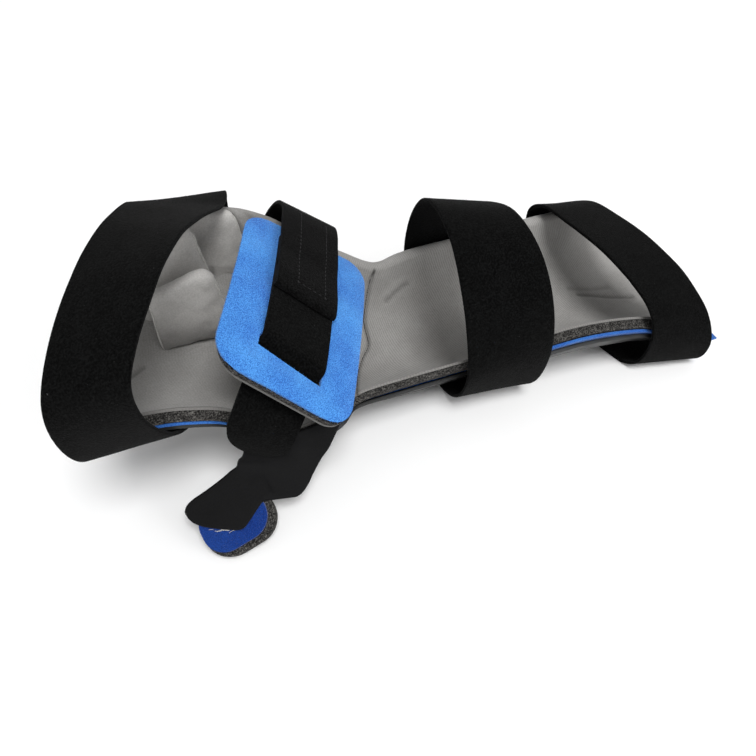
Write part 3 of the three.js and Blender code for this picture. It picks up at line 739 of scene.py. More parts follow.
def napped(base, name, density, length, radius, seed, material, slot):
    """Fibres on a finished piece: how many on a square centimetre, their length and radius in millimetres."""
    work = bmesh.new()
    work.from_mesh(base.data)
    low = [face for face in work.faces if face.calc_center_median().z < NAP_FLOOR * MM]
    bmesh.ops.delete(work, geom=low, context="FACES")
    mesh = bpy.data.meshes.new(name)
    work.to_mesh(mesh)
    work.free()
    obj = grown(
        link(name, mesh), nap_tree, density=density * PER_SQUARE_CENTIMETRE, length=length * MM,
        radius=radius * MM, lean=NAP_LEAN, seed=seed, material=material)
    return mount_piece(obj, material, slot)


# Materials


def start_material(name, roughness, specular, sheen=0.0, sheen_roughness=0.5):
    """Material with a plain shader, to which a finish adds its colour and relief."""
    material = bpy.data.materials.new(name)
    material.use_nodes = True
    shader = material.node_tree.nodes["Principled BSDF"]
    shader.inputs["Roughness"].default_value = roughness
    shader.inputs["Specular IOR Level"].default_value = specular
    shader.inputs["Sheen Weight"].default_value = sheen
    shader.inputs["Sheen Roughness"].default_value = sheen_roughness
    return material, material.node_tree, shader


def coordinates(tree, output, turn=0.0, stretch=(1, 1, 1)):
    """Texture coordinates, turned and stretched."""
    source = tree.nodes.new("ShaderNodeTexCoord")
    mapping = tree.nodes.new("ShaderNodeMapping")
    mapping.inputs["Rotation"].default_value = (0, 0, turn)
    mapping.inputs["Scale"].default_value = stretch
    tree.links.new(source.outputs[output], mapping.inputs["Vector"])
    return mapping.outputs["Vector"]


def noise(tree, vector, size, detail=2.0, roughness=0.55, distortion=0.0):
    """Noise whose features are about the given size in millimetres."""
    node = tree.nodes.new("ShaderNodeTexNoise")
    node.inputs["Scale"].default_value = 1 / (size * MM)
    node.inputs["Detail"].default_value = detail
    node.inputs["Roughness"].default_value = roughness
    node.inputs["Distortion"].default_value = distortion
    tree.links.new(vector, node.inputs["Vector"])
    return node.outputs["Fac"]


def ribs(tree, vector, pitch, distortion, detail_size):
    """Parallel ribs at a pitch in millimetres."""
    node = tree.nodes.new("ShaderNodeTexWave")
    node.wave_type = "BANDS"
    node.bands_direction = "X"
    node.inputs["Scale"].default_value = math.pi / 10 / (pitch * MM)
    node.inputs["Distortion"].default_value = distortion
    node.inputs["Detail"].default_value = 1.5
    node.inputs["Detail Scale"].default_value = pitch / detail_size
    tree.links.new(vector, node.inputs["Vector"])
    return node.outputs["Fac"]


def ramp(tree, source, *stops):
    """Colours over a range, as pairs of place and colour."""
    node = tree.nodes.new("ShaderNodeValToRGB")
    elements = node.color_ramp.elements
    for _ in stops[2:]:
        elements.new(0.5)
    for element, (place, colour) in zip(elements, stops):
        element.position = place
        element.color = colour
    tree.links.new(source, node.inputs["Fac"])
    return node.outputs["Color"]


def mixed(tree, kind, share, first, second):
    """Two colours mixed; a number for share is set on the socket."""
    node = tree.nodes.new("ShaderNodeMix")
    node.data_type = "RGBA"
    node.blend_type = kind
    if isinstance(share, float):
        node.inputs["Factor"].default_value = share
    else:
        tree.links.new(share, node.inputs["Factor"])
    tree.links.new(first, node.inputs[6])
    tree.links.new(second, node.inputs[7])
    return node.outputs[2]


def summed(tree, first, first_share, second, second_share):
    """Weighted sum of two heights."""
    scaled = tree.nodes.new("ShaderNodeMath")
    scaled.operation = "MULTIPLY"
    scaled.inputs[1].default_value = first_share
    tree.links.new(first, scaled.inputs[0])
    total = tree.nodes.new("ShaderNodeMath")
    total.operation = "MULTIPLY_ADD"
    total.inputs[1].default_value = second_share
    tree.links.new(second, total.inputs[0])
    tree.links.new(scaled.outputs[0], total.inputs[2])
    return total.outputs[0]


def raise_surface(tree, shader, height, distance, strength):
    """Bump of a height in millimetres on the shader."""
    node = tree.nodes.new("ShaderNodeBump")
    node.inputs["Distance"].default_value = distance * MM
    node.inputs["Strength"].default_value = strength
    tree.links.new(height, node.inputs["Height"])
    tree.links.new(node.outputs["Normal"], shader.inputs["Normal"])


def toned(colour, share):
    """Colour made darker or paler by a share."""
    return tuple(share * c for c in colour[:3]) + (1,)


GREYS = ((0, 0, 0, 1), (1, 1, 1, 1))
SHADE_AND_RIBS = "painted shade and ribs"
KNIT_TURN = math.radians(16)
PAD_BACK_TONE = 0.42


def marks(tree):
    """Painted shade of folds, seams, the near rim and the tabs' feet, and strength of ribs, as stored on the
    cloth by its maker.
    """
    source = tree.nodes.new("ShaderNodeAttribute")
    source.attribute_name = SHADE_AND_RIBS
    split = tree.nodes.new("ShaderNodeSeparateColor")
    tree.links.new(source.outputs["Color"], split.inputs["Color"])
    return split.outputs["Red"], split.outputs["Green"]


def product(tree, first, second):
    """Product of two values."""
    node = tree.nodes.new("ShaderNodeMath")
    node.operation = "MULTIPLY"
    tree.links.new(first, node.inputs[0])
    tree.links.new(second, node.inputs[1])
    return node.outputs[0]


def grey_knit(name, lit, shade):
    """Grey brushed knit: fuzz all over, fine diagonal ribs where they are marked, and painted shade that
    darkens it where folds, seams and rims are marked.
    """
    material, tree, shader = start_material(name, 0.96, 0.1, sheen=0.2)
    cloth = coordinates(tree, "UV", turn=KNIT_TURN)
    solid = coordinates(tree, "Object")
    painted_shade_share, ribbed = marks(tree)
    rib = product(tree, ribs(tree, cloth, 1.5, 2.2, 2.0), ribbed)
    fuzz = noise(tree, solid, 0.8, detail=3)
    patches = noise(tree, solid, 22, detail=3)
    height = summed(tree, rib, 0.42, fuzz, 0.9)
    yarn = ramp(tree, height, (0.28, tuple(shade)), (0.85, tuple(lit)))
    worn = ramp(tree, patches, (0.3, (0.88, 0.875, 0.87, 1)), (0.7, (1.04, 1.04, 1.04, 1)))
    # painted shade: the marked folds, seam, near rim and tabs' feet are darkened towards near black
    painted_fold_shade = ramp(tree, painted_shade_share, (0.0, (1, 1, 1, 1)), (1.0, (0.12, 0.115, 0.11, 1)))
    shaded = mixed(tree, "MULTIPLY", 1.0, mixed(tree, "MULTIPLY", 1.0, yarn, worn), painted_fold_shade)
    tree.links.new(shaded, shader.inputs["Base Color"])
    raise_surface(tree, shader, height, 0.3, 0.45)
    return material


def pad_back_knit(colours):
    """Darker grey cloth on the back of the palm pad."""
    lit, shade = (toned(colour, PAD_BACK_TONE) for colour in (colours.lining, colours.lining_shade))
    return grey_knit("grey pad back", lit, shade)


def blue_cloth(name, lit, shade):
    """Blue looped cloth with lit tips and dark depths between its loops."""
    material, tree, shader = start_material(name, 0.96, 0.08, sheen=0.25, sheen_roughness=0.4)
    solid = coordinates(tree, "Object")
    loops = noise(tree, solid, 0.55, detail=3, roughness=0.65)
    tufts = noise(tree, solid, 26, detail=2)
    height = summed(tree, loops, 0.9, tufts, 0.14)
    colour = ramp(tree, height, (0.38, tuple(shade)), (0.62, tuple(lit)))
    brushed = ramp(tree, tufts, (0.35, (0.8, 0.82, 0.9, 1)), (0.65, (1.05, 1.04, 1, 1)))
    tree.links.new(mixed(tree, "MULTIPLY", 1.0, colour, brushed), shader.inputs["Base Color"])
    raise_surface(tree, shader, height, 0.9, 0.6)
    return material


def black_pile(colours):
    """Black napped strap with a little pale lint."""
    material, tree, shader = start_material("black strap pile", 0.95, 0.03, sheen=0.03)
    solid = coordinates(tree, "Object")
    pile = noise(tree, solid, 0.95, detail=3, roughness=0.65)
    nap = noise(tree, solid, 9, detail=3)
    height = summed(tree, pile, 0.9, nap, 0.12)
    cloth = ramp(tree, height, (0.44, tuple(colours.strap_shade)), (0.64, tuple(colours.strap)))
    lint_spots = noise(tree, solid, 1.0, detail=1, distortion=0.6)
    lint = ramp(tree, lint_spots, (0.79, GREYS[0]), (0.83, GREYS[1]))
    pale = ramp(tree, nap, (0.0, (0.03, 0.03, 0.03, 1)), (1.0, (0.08, 0.08, 0.08, 1)))
    tree.links.new(mixed(tree, "MIX", lint, cloth, pale), shader.inputs["Base Color"])
    raise_surface(tree, shader, height, 0.9, 0.9)
    return material


def cut_foam(colours):
    """Charcoal foam with open cells and pale crumbs."""
    material, tree, shader = start_material("charcoal cut foam", 0.97, 0.1)
    solid = coordinates(tree, "Object")
    cells = noise(tree, solid, 0.8, detail=3, roughness=0.75)
    crumbs = noise(tree, solid, 2.6, detail=2)
    height = summed(tree, cells, 0.85, crumbs, 0.2)
    colour = ramp(
        tree, height, (0.44, tuple(colours.foam_shade)), (0.55, tuple(colours.foam)),
        (0.66, tuple(colours.foam_speck)))
    tree.links.new(colour, shader.inputs["Base Color"])
    raise_surface(tree, shader, height, 0.8, 0.8)
    return material


def thumb_cover(colours):
    """Matte black cover of the thumb wing and tongue, greyer where its nap catches light."""
    material, tree, shader = start_material("thumb cover", 0.75, 0.14, sheen=0.06, sheen_roughness=0.35)
    solid = coordinates(tree, "Object")
    nap = noise(tree, solid, 0.7, detail=3, roughness=0.6)
    wear = noise(tree, solid, 12, detail=3)
    height = summed(tree, nap, 0.8, wear, 0.3)
    dark = toned(colours.cover, 0.5)
    tree.links.new(ramp(tree, height, (0.4, dark), (0.75, tuple(colours.cover))), shader.inputs["Base Color"])
    raise_surface(tree, shader, height, 0.25, 0.4)
    return material


def moulded_shell(colours):
    """Very dark moulded shell with a fine grain and worn patches."""
    material, tree, shader = start_material("moulded shell", 0.5, 0.4)
    solid = coordinates(tree, "Object")
    grain = noise(tree, solid, 0.5, detail=2)
    wear = noise(tree, solid, 16, detail=4, roughness=0.6)
    dark, pale = toned(colours.shell, 0.8), toned(colours.shell, 1.5)
    tree.links.new(ramp(tree, wear, (0.35, dark), (0.7, pale)), shader.inputs["Base Color"])
    gloss = ramp(tree, wear, (0.3, (0.4, 0.4, 0.4, 1)), (0.75, (0.58, 0.58, 0.58, 1)))
    tree.links.new(gloss, shader.inputs["Roughness"])
    raise_surface(tree, shader, grain, 0.08, 0.35)
    return material


def sewing_thread(name, colour):
    """Twisted thread of one colour."""
    material, tree, shader = start_material(name, 0.8, 0.2, sheen=0.1)
    twist = noise(tree, coordinates(tree, "Object"), 0.4, detail=1)
    dark = toned(colour, 0.6)
    tree.links.new(ramp(tree, twist, (0.3, dark), (0.7, tuple(colour))), shader.inputs["Base Color"])
    return material


def finish(name):
    """Finish by name, made at its first use."""
    maker = FINISHES[name]
    if name not in finish.made:
        finish.made[name] = maker(bpy.context.scene.splint_colours)
    return finish.made[name]


finish.made = {}
FINISHES = {
    "lining": lambda colours: grey_knit("grey knit lining", colours.lining, colours.lining_shade),
    # the separators' paler grey is partly painted light on their upright faces
    "brushed": lambda colours: grey_knit("grey brushed cloth", colours.brushed, colours.brushed_shade),
    "pad back": pad_back_knit,
    "plush": lambda colours: blue_cloth("blue plush", colours.plush, colours.plush_shade),
    "backing": lambda colours: blue_cloth("blue backing cloth", colours.backing, colours.backing_shade),
    "loop": lambda colours: blue_cloth("blue loop cloth", colours.loop, colours.loop_shade),
    "strap": black_pile,
    "foam": cut_foam,
    "shell": moulded_shell,
    "thumb cover": thumb_cover,
    "black thread": lambda colours: sewing_thread("black thread", (0.016, 0.016, 0.017, 1)),
    "pale thread": lambda colours: sewing_thread("pale thread", (0.6, 0.59, 0.56, 1)),
}


# Pieces


SEAM_WIDTH = 1.1
SEAM_ROLL = {"away": 6.5, "width": 4.5, "share": 0.4}
CREASE_ROLL = {"away": 2.2, "share": 0.4}
SEAM_STEPS = 40
CREASE_STEPS = 12
LIP_FADE = 5.0
# Soft waves of the lining: steady part, then size in millimetres, share and seed of each set
LINING_SWELL = 0.6
LINING_WAVES = ((46, 0.5, 3), (19, 0.35, 8))


def seam_distance(points):
    """Distance of points from the seam across the wrist."""
    return distance_to_line(points, line_on_trough(WRIST_SEAM, SEAM_STEPS))


def crease_distances(points):
    """Each crease with the distance of points from it."""
    for crease in CREASES:
        yield crease, distance_to_line(points, line_on_trough(crease["line"], CREASE_STEPS))


def lining_relief(points, ripple, seam_depth):
    """Height in millimetres of the lining's soft waves, seam and creases, which fade at both lips."""
    waves = sum(share * ripples(points, size, seed) for size, share, seed in LINING_WAVES)
    height = ripple * (LINING_SWELL + waves)
    away = seam_distance(points)
    height += SEAM_ROLL["share"] * seam_depth * hump(away - SEAM_ROLL["away"], SEAM_ROLL["width"])
    height -= seam_depth * hump(away, SEAM_WIDTH)
    for crease, away in crease_distances(points):
        width, depth = crease["width"], crease["depth"]
        height -= depth * hump(away, width)
        height += CREASE_ROLL["share"] * depth * hump(away - CREASE_ROLL["away"] * width, width)
    from_lips = [np.linalg.norm(points - points[:, side : side + 1 or None], axis=-1) for side in (0, -1)]
    return height * np.clip(np.minimum(*from_lips) / LIP_FADE, 0, 1)


# Painted shade: share of a seam's or crease's width that it darkens, shade of a crease for its depth, and
# shade of the near rim, which darkens its lit round edge
PAINTED_SHADE_WIDTH = 0.8
CREASE_SHADE = 0.6
NEAR_RIM_SHADE = 0.45
NEAR_RIM_COLUMNS = 2
RIB_SPAN = (0.5, 0.62)
HAND_RIBS = 0.2


def lining_shade_and_ribs(points, u):
    """Painted shade of the seam, the creases and the near rim, and strength of the ribs, at each point of the
    lining.
    """
    shade = hump(seam_distance(points), PAINTED_SHADE_WIDTH * SEAM_WIDTH)
    # painted shade on the two columns of the near rim
    rim = shade[:, :NEAR_RIM_COLUMNS]
    np.maximum(rim, NEAR_RIM_SHADE, out=rim)
    for crease, away in crease_distances(points):
        shade = np.maximum(shade, CREASE_SHADE * crease["depth"] * hump(away, PAINTED_SHADE_WIDTH * crease["width"]))
    forearm = np.clip((RIB_SPAN[1] - u) / (RIB_SPAN[1] - RIB_SPAN[0]), 0, 1)
    return np.clip(shade, 0, 1), HAND_RIBS + (1 - HAND_RIBS) * forearm


def paint_shade_and_ribs(obj, shade, ribbed):
    """Keeps the painted shade and the rib strength of each point in the piece's own attribute."""
    layer = obj.data.color_attributes.new(SHADE_AND_RIBS, "FLOAT_COLOR", "POINT")
    values = np.zeros((len(obj.data.vertices), 4))
    values[:, 0] = np.ravel(shade)
    values[:, 1] = np.ravel(ribbed)
    layer.data.foreach_set("color", values.ravel())


def trough_sheet(depth, inset, far_inset, sizes, relief=None, tuck=0.0):
    """Grid of the trough at a depth, raised by a relief in millimetres."""
    u, v = trough_grid(sizes.grid_rows, sizes.grid_columns, inset, far_inset, tuck)
    lift = FOAM_ROLL["height"] * foam_roll(u, v) if tuck else 0
    if relief is not None:
        lift = lift + relief(trough_point(u, v))
    return trough_at(u, v, depth - lift)


RIM_ROLL = 4.35
RIM_ROLL_ANGLES = np.radians(np.linspace(0, 178, 16)[1:])


def lining_sheet(sizes, relief):
    """Grid of the lining's face, which rolls outwards over the foam at the far lip, and its places along."""
    face = trough_sheet(0.0, 0.0, RIM_ROLL, sizes, relief)
    u, v = trough_grid(sizes.grid_rows, sizes.grid_columns, 0.0, RIM_ROLL)
    edge, away = face[:, -1:], trough_outward(u[:, -1:], v[:, -1:])
    towards = unit(trough_point(u[:, -1:], v[:, -1:]) - trough_point(u[:, -1:], v[:, -1:] - SLOPE_STEP))
    turn = RIM_ROLL_ANGLES[None, :, None]
    roll = edge + RIM_ROLL * (towards * np.sin(turn) + away * (1 - np.cos(turn)))
    sheet = np.concatenate([face, roll], axis=1)
    return sheet, np.broadcast_to(u[:, :1], sheet.shape[:2])


def thumb_axes():
    """Directions along, down and above the thumb's plane."""
    along = unit(THUMB_ALONG)
    down = unit(THUMB_DOWN - along * (THUMB_DOWN @ along))
    return along, down, np.cross(along, down)


def thumb_point(along, down, height):
    """Point in the thumb's frame."""
    places = np.broadcast_arrays(*(np.asarray(value, float) for value in (along, down, height)))
    return THUMB_ROOT + sum(place[..., None] * axis for place, axis in zip(places, thumb_axes()))


def pad_axes():
    """Directions to the far side, to the fingers and above the palm pad."""
    fingers = unit(PAD_TO_FINGERS)
    far = unit(PAD_TO_FAR - fingers * (PAD_TO_FAR @ fingers))
    return far, fingers, np.cross(far, fingers)


def pad_point(across, along, height):
    """Point in the palm pad's frame."""
    places = np.broadcast_arrays(*(np.asarray(value, float) for value in (across, along, height)))
    return PAD_CENTRE + sum(place[..., None] * axis for place, axis in zip(places, pad_axes()))


WING_TIP_ROUND = {"from_row": 0.84, "reach": 0.14}


def wing_points(rows, columns):
    """Grid of the thumb wing from its root in the shell to its round tip."""
    grid = np.zeros((rows, columns, 3))
    t = np.linspace(0, 1, rows)
    past = np.clip((t - WING_TIP_ROUND["from_row"]) / (1 - WING_TIP_ROUND["from_row"]), 0, 1)
    pulled = WING_TIP_ROUND["reach"] * (1 - np.sqrt(np.maximum(1 - past**2, 0)))
    for column, j in enumerate(np.linspace(0, 1, columns)):
        for row in range(rows):
            share = pulled[row] + (1 - pulled[row]) * j
            u = np.full(2, WING_ROOT_SPAN[0] + (WING_ROOT_SPAN[1] - WING_ROOT_SPAN[0]) * share)
            root = trough_at(u, np.array(WING_ROOT_HEIGHTS), np.full(2, SHELL_TOP + SHELL / 2))
            line = [np.array(e) * (1 - share) + np.array(f) * share for e, f in WING_ROWS]
            grid[row, column] = smooth_curve(np.vstack([root, line]), t[row : row + 1])[0]
    return grid


COLLAR_SPAN = (0.575, 0.752)
COLLAR_OUT = 2.6
COLLAR_DEPTHS = (0.9, 5.0)


def collar_points(rows, columns):
    """Grid of the wing's collar, from the liner's near lip down over the liner's edge to the wing."""
    share = np.linspace(0, 1, columns)
    u = COLLAR_SPAN[0] + (COLLAR_SPAN[1] - COLLAR_SPAN[0]) * share
    lip = np.full(columns, -1.0)
    away = trough_outward(u, lip)
    out = unit(trough_point(u, lip) - trough_point(u, lip + SLOPE_STEP))
    knots = [trough_point(u, lip) + out * COLLAR_OUT + away * depth for depth in COLLAR_DEPTHS]
    for elbow, fingers in WING_ROWS[:2]:
        knots.append(np.outer(1 - share, elbow) + np.outer(share, fingers))
    t = np.linspace(0, 1, rows)
    return np.stack([smooth_curve(np.stack(knots)[:, j], t) for j in range(columns)], axis=1)


def tongue_points(rows, columns):
    """Grid of the thumb tongue from its root to its tip."""
    along, upper, lower, lift = np.array(TONGUE_ROWS, float).T
    t = np.linspace(0, 1, rows)
    top = smooth_curve(thumb_point(along, upper, lift), t)
    bottom = smooth_curve(thumb_point(along, lower, lift), t)
    share = np.linspace(0, 1, columns)[None, :, None]
    return top[:, None] * (1 - share) + bottom[:, None] * share


THUMB_EDGE = 0.5
THUMB_MELT = {"voxel": 0.62, "smoothing": 9}


def thumb_form(name, thickness):
    """Wing and tongue as one smooth closed form."""
    grids = {"wing": wing_points(46, 40), "collar": collar_points(30, 40), "tongue": tongue_points(60, 30)}
    parts = [thicken(grid_object(part, points), thickness, 0, THUMB_EDGE) for part, points in grids.items()]
    return voxel_form(joined(name, *parts), **THUMB_MELT)


# Small square end of the backing: its span along x and across the trough, its thickness, the length over
# which it turns level, and how far it hangs
BACKING_END = {"x": (124.0, 163.0), "v": (-0.97, -0.82), "thickness": 1.2, "twist": 9.0, "sag": 4.5}


def backing_end_points(rows, columns):
    """Grid of the backing's square end, which stands out past the elbow end."""
    x = np.linspace(*BACKING_END["x"], rows)[:, None]
    v = np.linspace(*BACKING_END["v"], columns)[None, :]
    first, second = SECTIONS[0][1][0], SECTIONS[1][1][0]
    u = np.clip((first - x) / (first - second) / (len(SECTIONS) - 1), 0, 1)
    u, v = np.broadcast_arrays(u, v)
    points = trough_at(u, v, np.full(u.shape, BACKING_TOP + BACKING / 2))
    past = np.maximum(x - first, 0)
    flat = np.clip(past / BACKING_END["twist"], 0, 1)
    middle = points[:, columns // 2 : columns // 2 + 1, 2]
    points[..., 2] += flat * (middle - points[..., 2]) - BACKING_END["sag"] * flat**2
    points[..., 0] += past
    return points


# At the wrist: the foam roll's width and the slope behind it, how far the under layers draw back from the
# lip, and how much thicker the foam stays under the seam
ROLL_WIDTH = 6.5
ROLL_SLOPE = 3.5
SHELL_TUCK = 9.0
BACKING_TUCK = 15.0
SEAM_COVER = {"share": 0.45, "width": 3.3}
# Insets at the lips, and the radius of each piece's round edge, in millimetres
FOAM_INSETS = (0.3, RIM_ROLL + 0.4)
BACKING_FAR_INSET = RIM_ROLL + 1
EDGES = {"shell": 0.9, "lining": 0.6, "foam": 1.1, "backing": 0.8, "backing end": 0.5, "strap": 0.75}


class SPLINT_OT_shell(bpy.types.Operator):
    """Moulded shell with its thumb wing and tongue"""

    bl_idname = "splint.shell"
    bl_label = "Moulded shell"

    def execute(self, context):
        sizes = context.scene.splint_sizes
        trough = grid_object(
            "shell_trough", trough_sheet(SHELL_TOP, SHELL_INSET, SHELL_INSET, sizes, tuck=SHELL_TUCK))
        thicken(trough, SHELL, 1, EDGES["shell"])
        trough_faces = len(trough.data.polygons)
        shell = joined("moulded_shell", trough, thumb_form("shell_thumb", SHELL))
        shell.data.shade_smooth()
        mount_piece(shell, finish("shell"), "shell", "shell")
        shell.data.materials.append(finish("thumb cover"))
        for face in shell.data.polygons[trough_faces:]:
            face.material_index = 1
        return {"FINISHED"}


class SPLINT_OT_liner(bpy.types.Operator):
    """Knit lining, foam core and blue backing of the trough"""

    bl_idname = "splint.liner"
    bl_label = "Padded liner"

    def execute(self, context):
        sizes = context.scene.splint_sizes
        ripple, seam = sizes.ripple / MM, sizes.seam_depth / MM
        soft = lambda points: lining_relief(points, ripple, seam)
        waves = lambda points: lining_relief(points, ripple, 0.0)
        sheet, u = lining_sheet(sizes, soft)
        lining = grid_object("knit_lining", sheet)
        paint_shade_and_ribs(lining, *lining_shade_and_ribs(sheet, u))
        thicken(lining, LINING, 1, EDGES["lining"])
        mount_piece(lining, finish("lining"), "lining", "lining")
        core = grid_object("liner_foam_core", trough_sheet(FOAM_TOP, *FOAM_INSETS, sizes, waves))
        thicken(core, FOAM, 1, EDGES["foam"], shares=self.foam_shares(sizes))
        mount_piece(core, finish("foam"), "foam", "liner_foam")
        cloth = trough_sheet(BACKING_TOP, BACKING_INSET, BACKING_FAR_INSET, sizes, tuck=BACKING_TUCK)
        backing = grid_object("liner_backing_cloth", cloth)
        thicken(backing, BACKING, 1, EDGES["backing"])
        end = grid_object("backing_end", backing_end_points(16, 10))
        thicken(end, BACKING_END["thickness"], 0, EDGES["backing end"])
        backing = joined("liner_backing_cloth", backing, end)
        backing.data.shade_smooth()
        mount_piece(backing, finish("backing"), "blue_loop", "liner_backing")
        return {"FINISHED"}

    def foam_shares(self, sizes):
        """Share of the foam's thickness: full in its roll, thin behind it at the wrist but under the seam."""
        u, v = trough_grid(sizes.grid_rows, sizes.grid_columns, *FOAM_INSETS)
        behind = np.clip(((v + 1) * HALF_ARC - ROLL_WIDTH) / ROLL_SLOPE, 0, 1)
        thin = 1 - SEAM_COVER["share"] * hump(seam_distance(trough_point(u, v)), SEAM_COVER["width"])
        share = 1 - FOAM_ROLL["height"] / FOAM * foam_roll(u, v) * behind * thin
        return share * (1 - (1 - FOAM_ROLL["lip"]) * wrist_tuck(u) * (1 - behind))


def vertex_places(obj):
    """Places of a mesh's points in metres."""
    places = np.empty(len(obj.data.vertices) * 3)
    obj.data.vertices.foreach_get("co", places)
    return places.reshape(-1, 3)


def place_vertices(obj, places):
    """Moves a mesh's points to places in metres."""
    obj.data.vertices.foreach_set("co", np.ravel(places))
    obj.data.update()


SWELL_FRAMES = 20


def swollen(obj, pressure, reach):
    """Swells a closed cloth form by simulation, with no point moved further than a reach in millimetres."""
    start = vertex_places(obj)
    cloth = obj.modifiers.new("swell", "CLOTH").settings
    cloth.use_pressure = True
    cloth.uniform_pressure_force = pressure
    cloth.effector_weights.gravity = 0
    scene = bpy.context.scene
    for step in range(1, SWELL_FRAMES + 1):
        scene.frame_set(step)
    settle(obj)
    scene.frame_set(1)
    moved = vertex_places(obj) - start
    far = np.maximum(np.linalg.norm(moved, axis=1, keepdims=True), 1e-9)
    place_vertices(obj, start + moved * np.minimum(1, reach * MM / far))
    return obj


EDGE_BAND = 0.6


def edge_line(obj, direction, shares, steps):
    """Line of a piece's outermost points in a direction, between two shares of its height, in millimetres."""
    places = (vertex_places(obj) - SHIFT) / MM
    height = places[:, 2]
    span = np.ptp(height)
    rows = []
    for level in height.min() + span * np.linspace(*shares, steps):
        near = places[np.abs(height - level) < EDGE_BAND * span / steps]
        rows.append(near[np.argmax(near @ direction)])
    return smooth_curve(np.array(rows), np.linspace(0, 1, 3 * steps))


HAND_SPAN = (0.5, 1.0)
FLOOR_GRID = (160, 90)


class LiningFloor:
    """Lining's visible face as points that can be searched."""

    def __init__(self):
        rows, columns = FLOOR_GRID
        u, v = np.meshgrid(np.linspace(*HAND_SPAN, rows), np.linspace(-1, 1, columns), indexing="ij")
        self.points = trough_point(u, v).reshape(-1, 3)
        self.outward = trough_outward(u, v).reshape(-1, 3)
        self.tree = KDTree(len(self.points))
        for index, point in enumerate(self.points):
            self.tree.insert(point, index)
        self.tree.balance()

    def height_over(self, places):
        """Height of each place over the lining, and the direction down into it."""
        nearest = [self.tree.find(place)[1] for place in places]
        down = self.outward[nearest]
        return -np.sum((places - self.points[nearest]) * down, axis=1), down


# Foot of a tab in millimetres: how far it is pulled down, up to which height, the height up to which it
# spreads, and the blend between its two faces
FOOT = {"pull": 1.0, "reach": 5.0, "spread_reach": 24.0, "blend": 3.0}
# Feet of the tabs: painted shade at the foot and its reach, spread over the lining, and turn back of the
# elbow end
TAB_FEET = {
    "near": {"shade": 0.7, "reach": 17.0, "spread": 0.0, "back": 9.0},
    "middle": {"shade": 0.12, "reach": 9.0, "spread": 2.0, "back": 0.0},
    "far": {"shade": 0.06, "reach": 9.0, "spread": 12.0, "back": 0.0},
}
TAB_PRESSURE = 4.0
TAB_SWELL = 1.5
TAB_MELT = {"voxel": 1.5, "smoothing": 6}
# Wrinkles of the tabs: size in millimetres, height and step of the seed
TAB_WRINKLES = ((19, 0.45, 0), (8, 0.22, 50))
TAB_SEAM_RADIUS = 0.5
TAB_SEAM_STEPS = 12
# Seams of the tabs: which tab, direction of its edge, shares of its height
TAB_SEAMS = (
    ("near", (-0.85, -0.53, 0), (0.12, 0.9)),
    ("near", (0.8, -0.6, 0), (0.2, 0.92)),
    ("middle", (0.8, -0.6, 0), (0.2, 0.95)),
    ("far", (0.8, -0.6, 0), (0.2, 0.95)),
)


class SPLINT_OT_separators(bpy.types.Operator):
    """Padded tabs that stand between the fingers"""

    bl_idname = "splint.separators"
    bl_label = "Finger separators"

    def execute(self, context):
        tabs = {}
        floor = LiningFloor()
        for index, place in enumerate(("near", "middle", "far")):
            node = f"finger_separator_{place}"
            tab = link(f"separator_tab_{place}", frame["nodes"][node].data.copy())
            voxel_form(tab, **TAB_MELT)
            swollen(tab, TAB_PRESSURE, TAB_SWELL)
            refined(tab, 1)
            self.soften(tab, SEEDS["tab wrinkles"] + index)
            self.sew_foot(tab, floor, **TAB_FEET[place])
            mount_piece(tab, finish("brushed"), "lining", node)
            tabs[place] = tab
        lines = []
        for place, toward, shares in TAB_SEAMS:
            lines.append(edge_line(tabs[place], np.array(toward), shares, TAB_SEAM_STEPS))
        threads("separator_seams", lines, TAB_SEAM_RADIUS, finish("pale thread"), "lining")
        return {"FINISHED"}

    def sew_foot(self, tab, floor, shade, reach, spread, back):
        """Sews a tab's foot to the lining: spread to the near side, turned back, and darkened by painted
        shade near the lining.
        """
        places = (vertex_places(tab) - SHIFT) / MM
        above, _ = floor.height_over(places)
        low = np.clip(1 - above / FOOT["spread_reach"], 0, 1) ** 2
        middle = (places[:, 1].min() + places[:, 1].max()) / 2
        near_side = np.clip((middle - places[:, 1]) / FOOT["blend"] + 0.5, 0, 1)
        along = (places[:, 0] - places[:, 0].min()) / np.ptp(places[:, 0])
        places[:, 1] += low * (back * along - spread * near_side)
        moved, down = floor.height_over(places)
        pull = moved - above + FOOT["pull"] * np.clip(1 - above / FOOT["reach"], 0, 1)
        place_vertices(tab, in_frame(places + down * pull[:, None]))
        # painted shade at the foot, fading with height over the lining
        paint_shade_and_ribs(tab, shade * hump(np.maximum(above, 0), reach), 0)

    def soften(self, tab, seed):
        """Raises soft wrinkles on a tab, and lays its knit flat on its two sides."""
        points = vertex_places(tab)
        normals = np.array([vertex.normal for vertex in tab.data.vertices])
        lift = sum(high * ripples(points / MM, size, seed + step) for size, high, step in TAB_WRINKLES)
        place_vertices(tab, points + normals * lift[:, None] * MM)
        layer = tab.data.uv_layers.new(name="cloth")
        corners = np.empty(len(tab.data.loops), int)
        tab.data.loops.foreach_get("vertex_index", corners)
        layer.data.foreach_set("uv", points[corners][:, (0, 2)].ravel())


LOOP_ROWS = 260
LOOP_COLUMNS = 22
LEAN_ROUNDING = 24.0
LEAN_SHARPNESS = 3


def soft_limit(values, limit):
    """Values up to a limit, which they meet in a round bend."""
    past = (values - limit) / LEAN_ROUNDING
    return values - LEAN_ROUNDING * np.logaddexp(0, LEAN_SHARPNESS * past) / LEAN_SHARPNESS


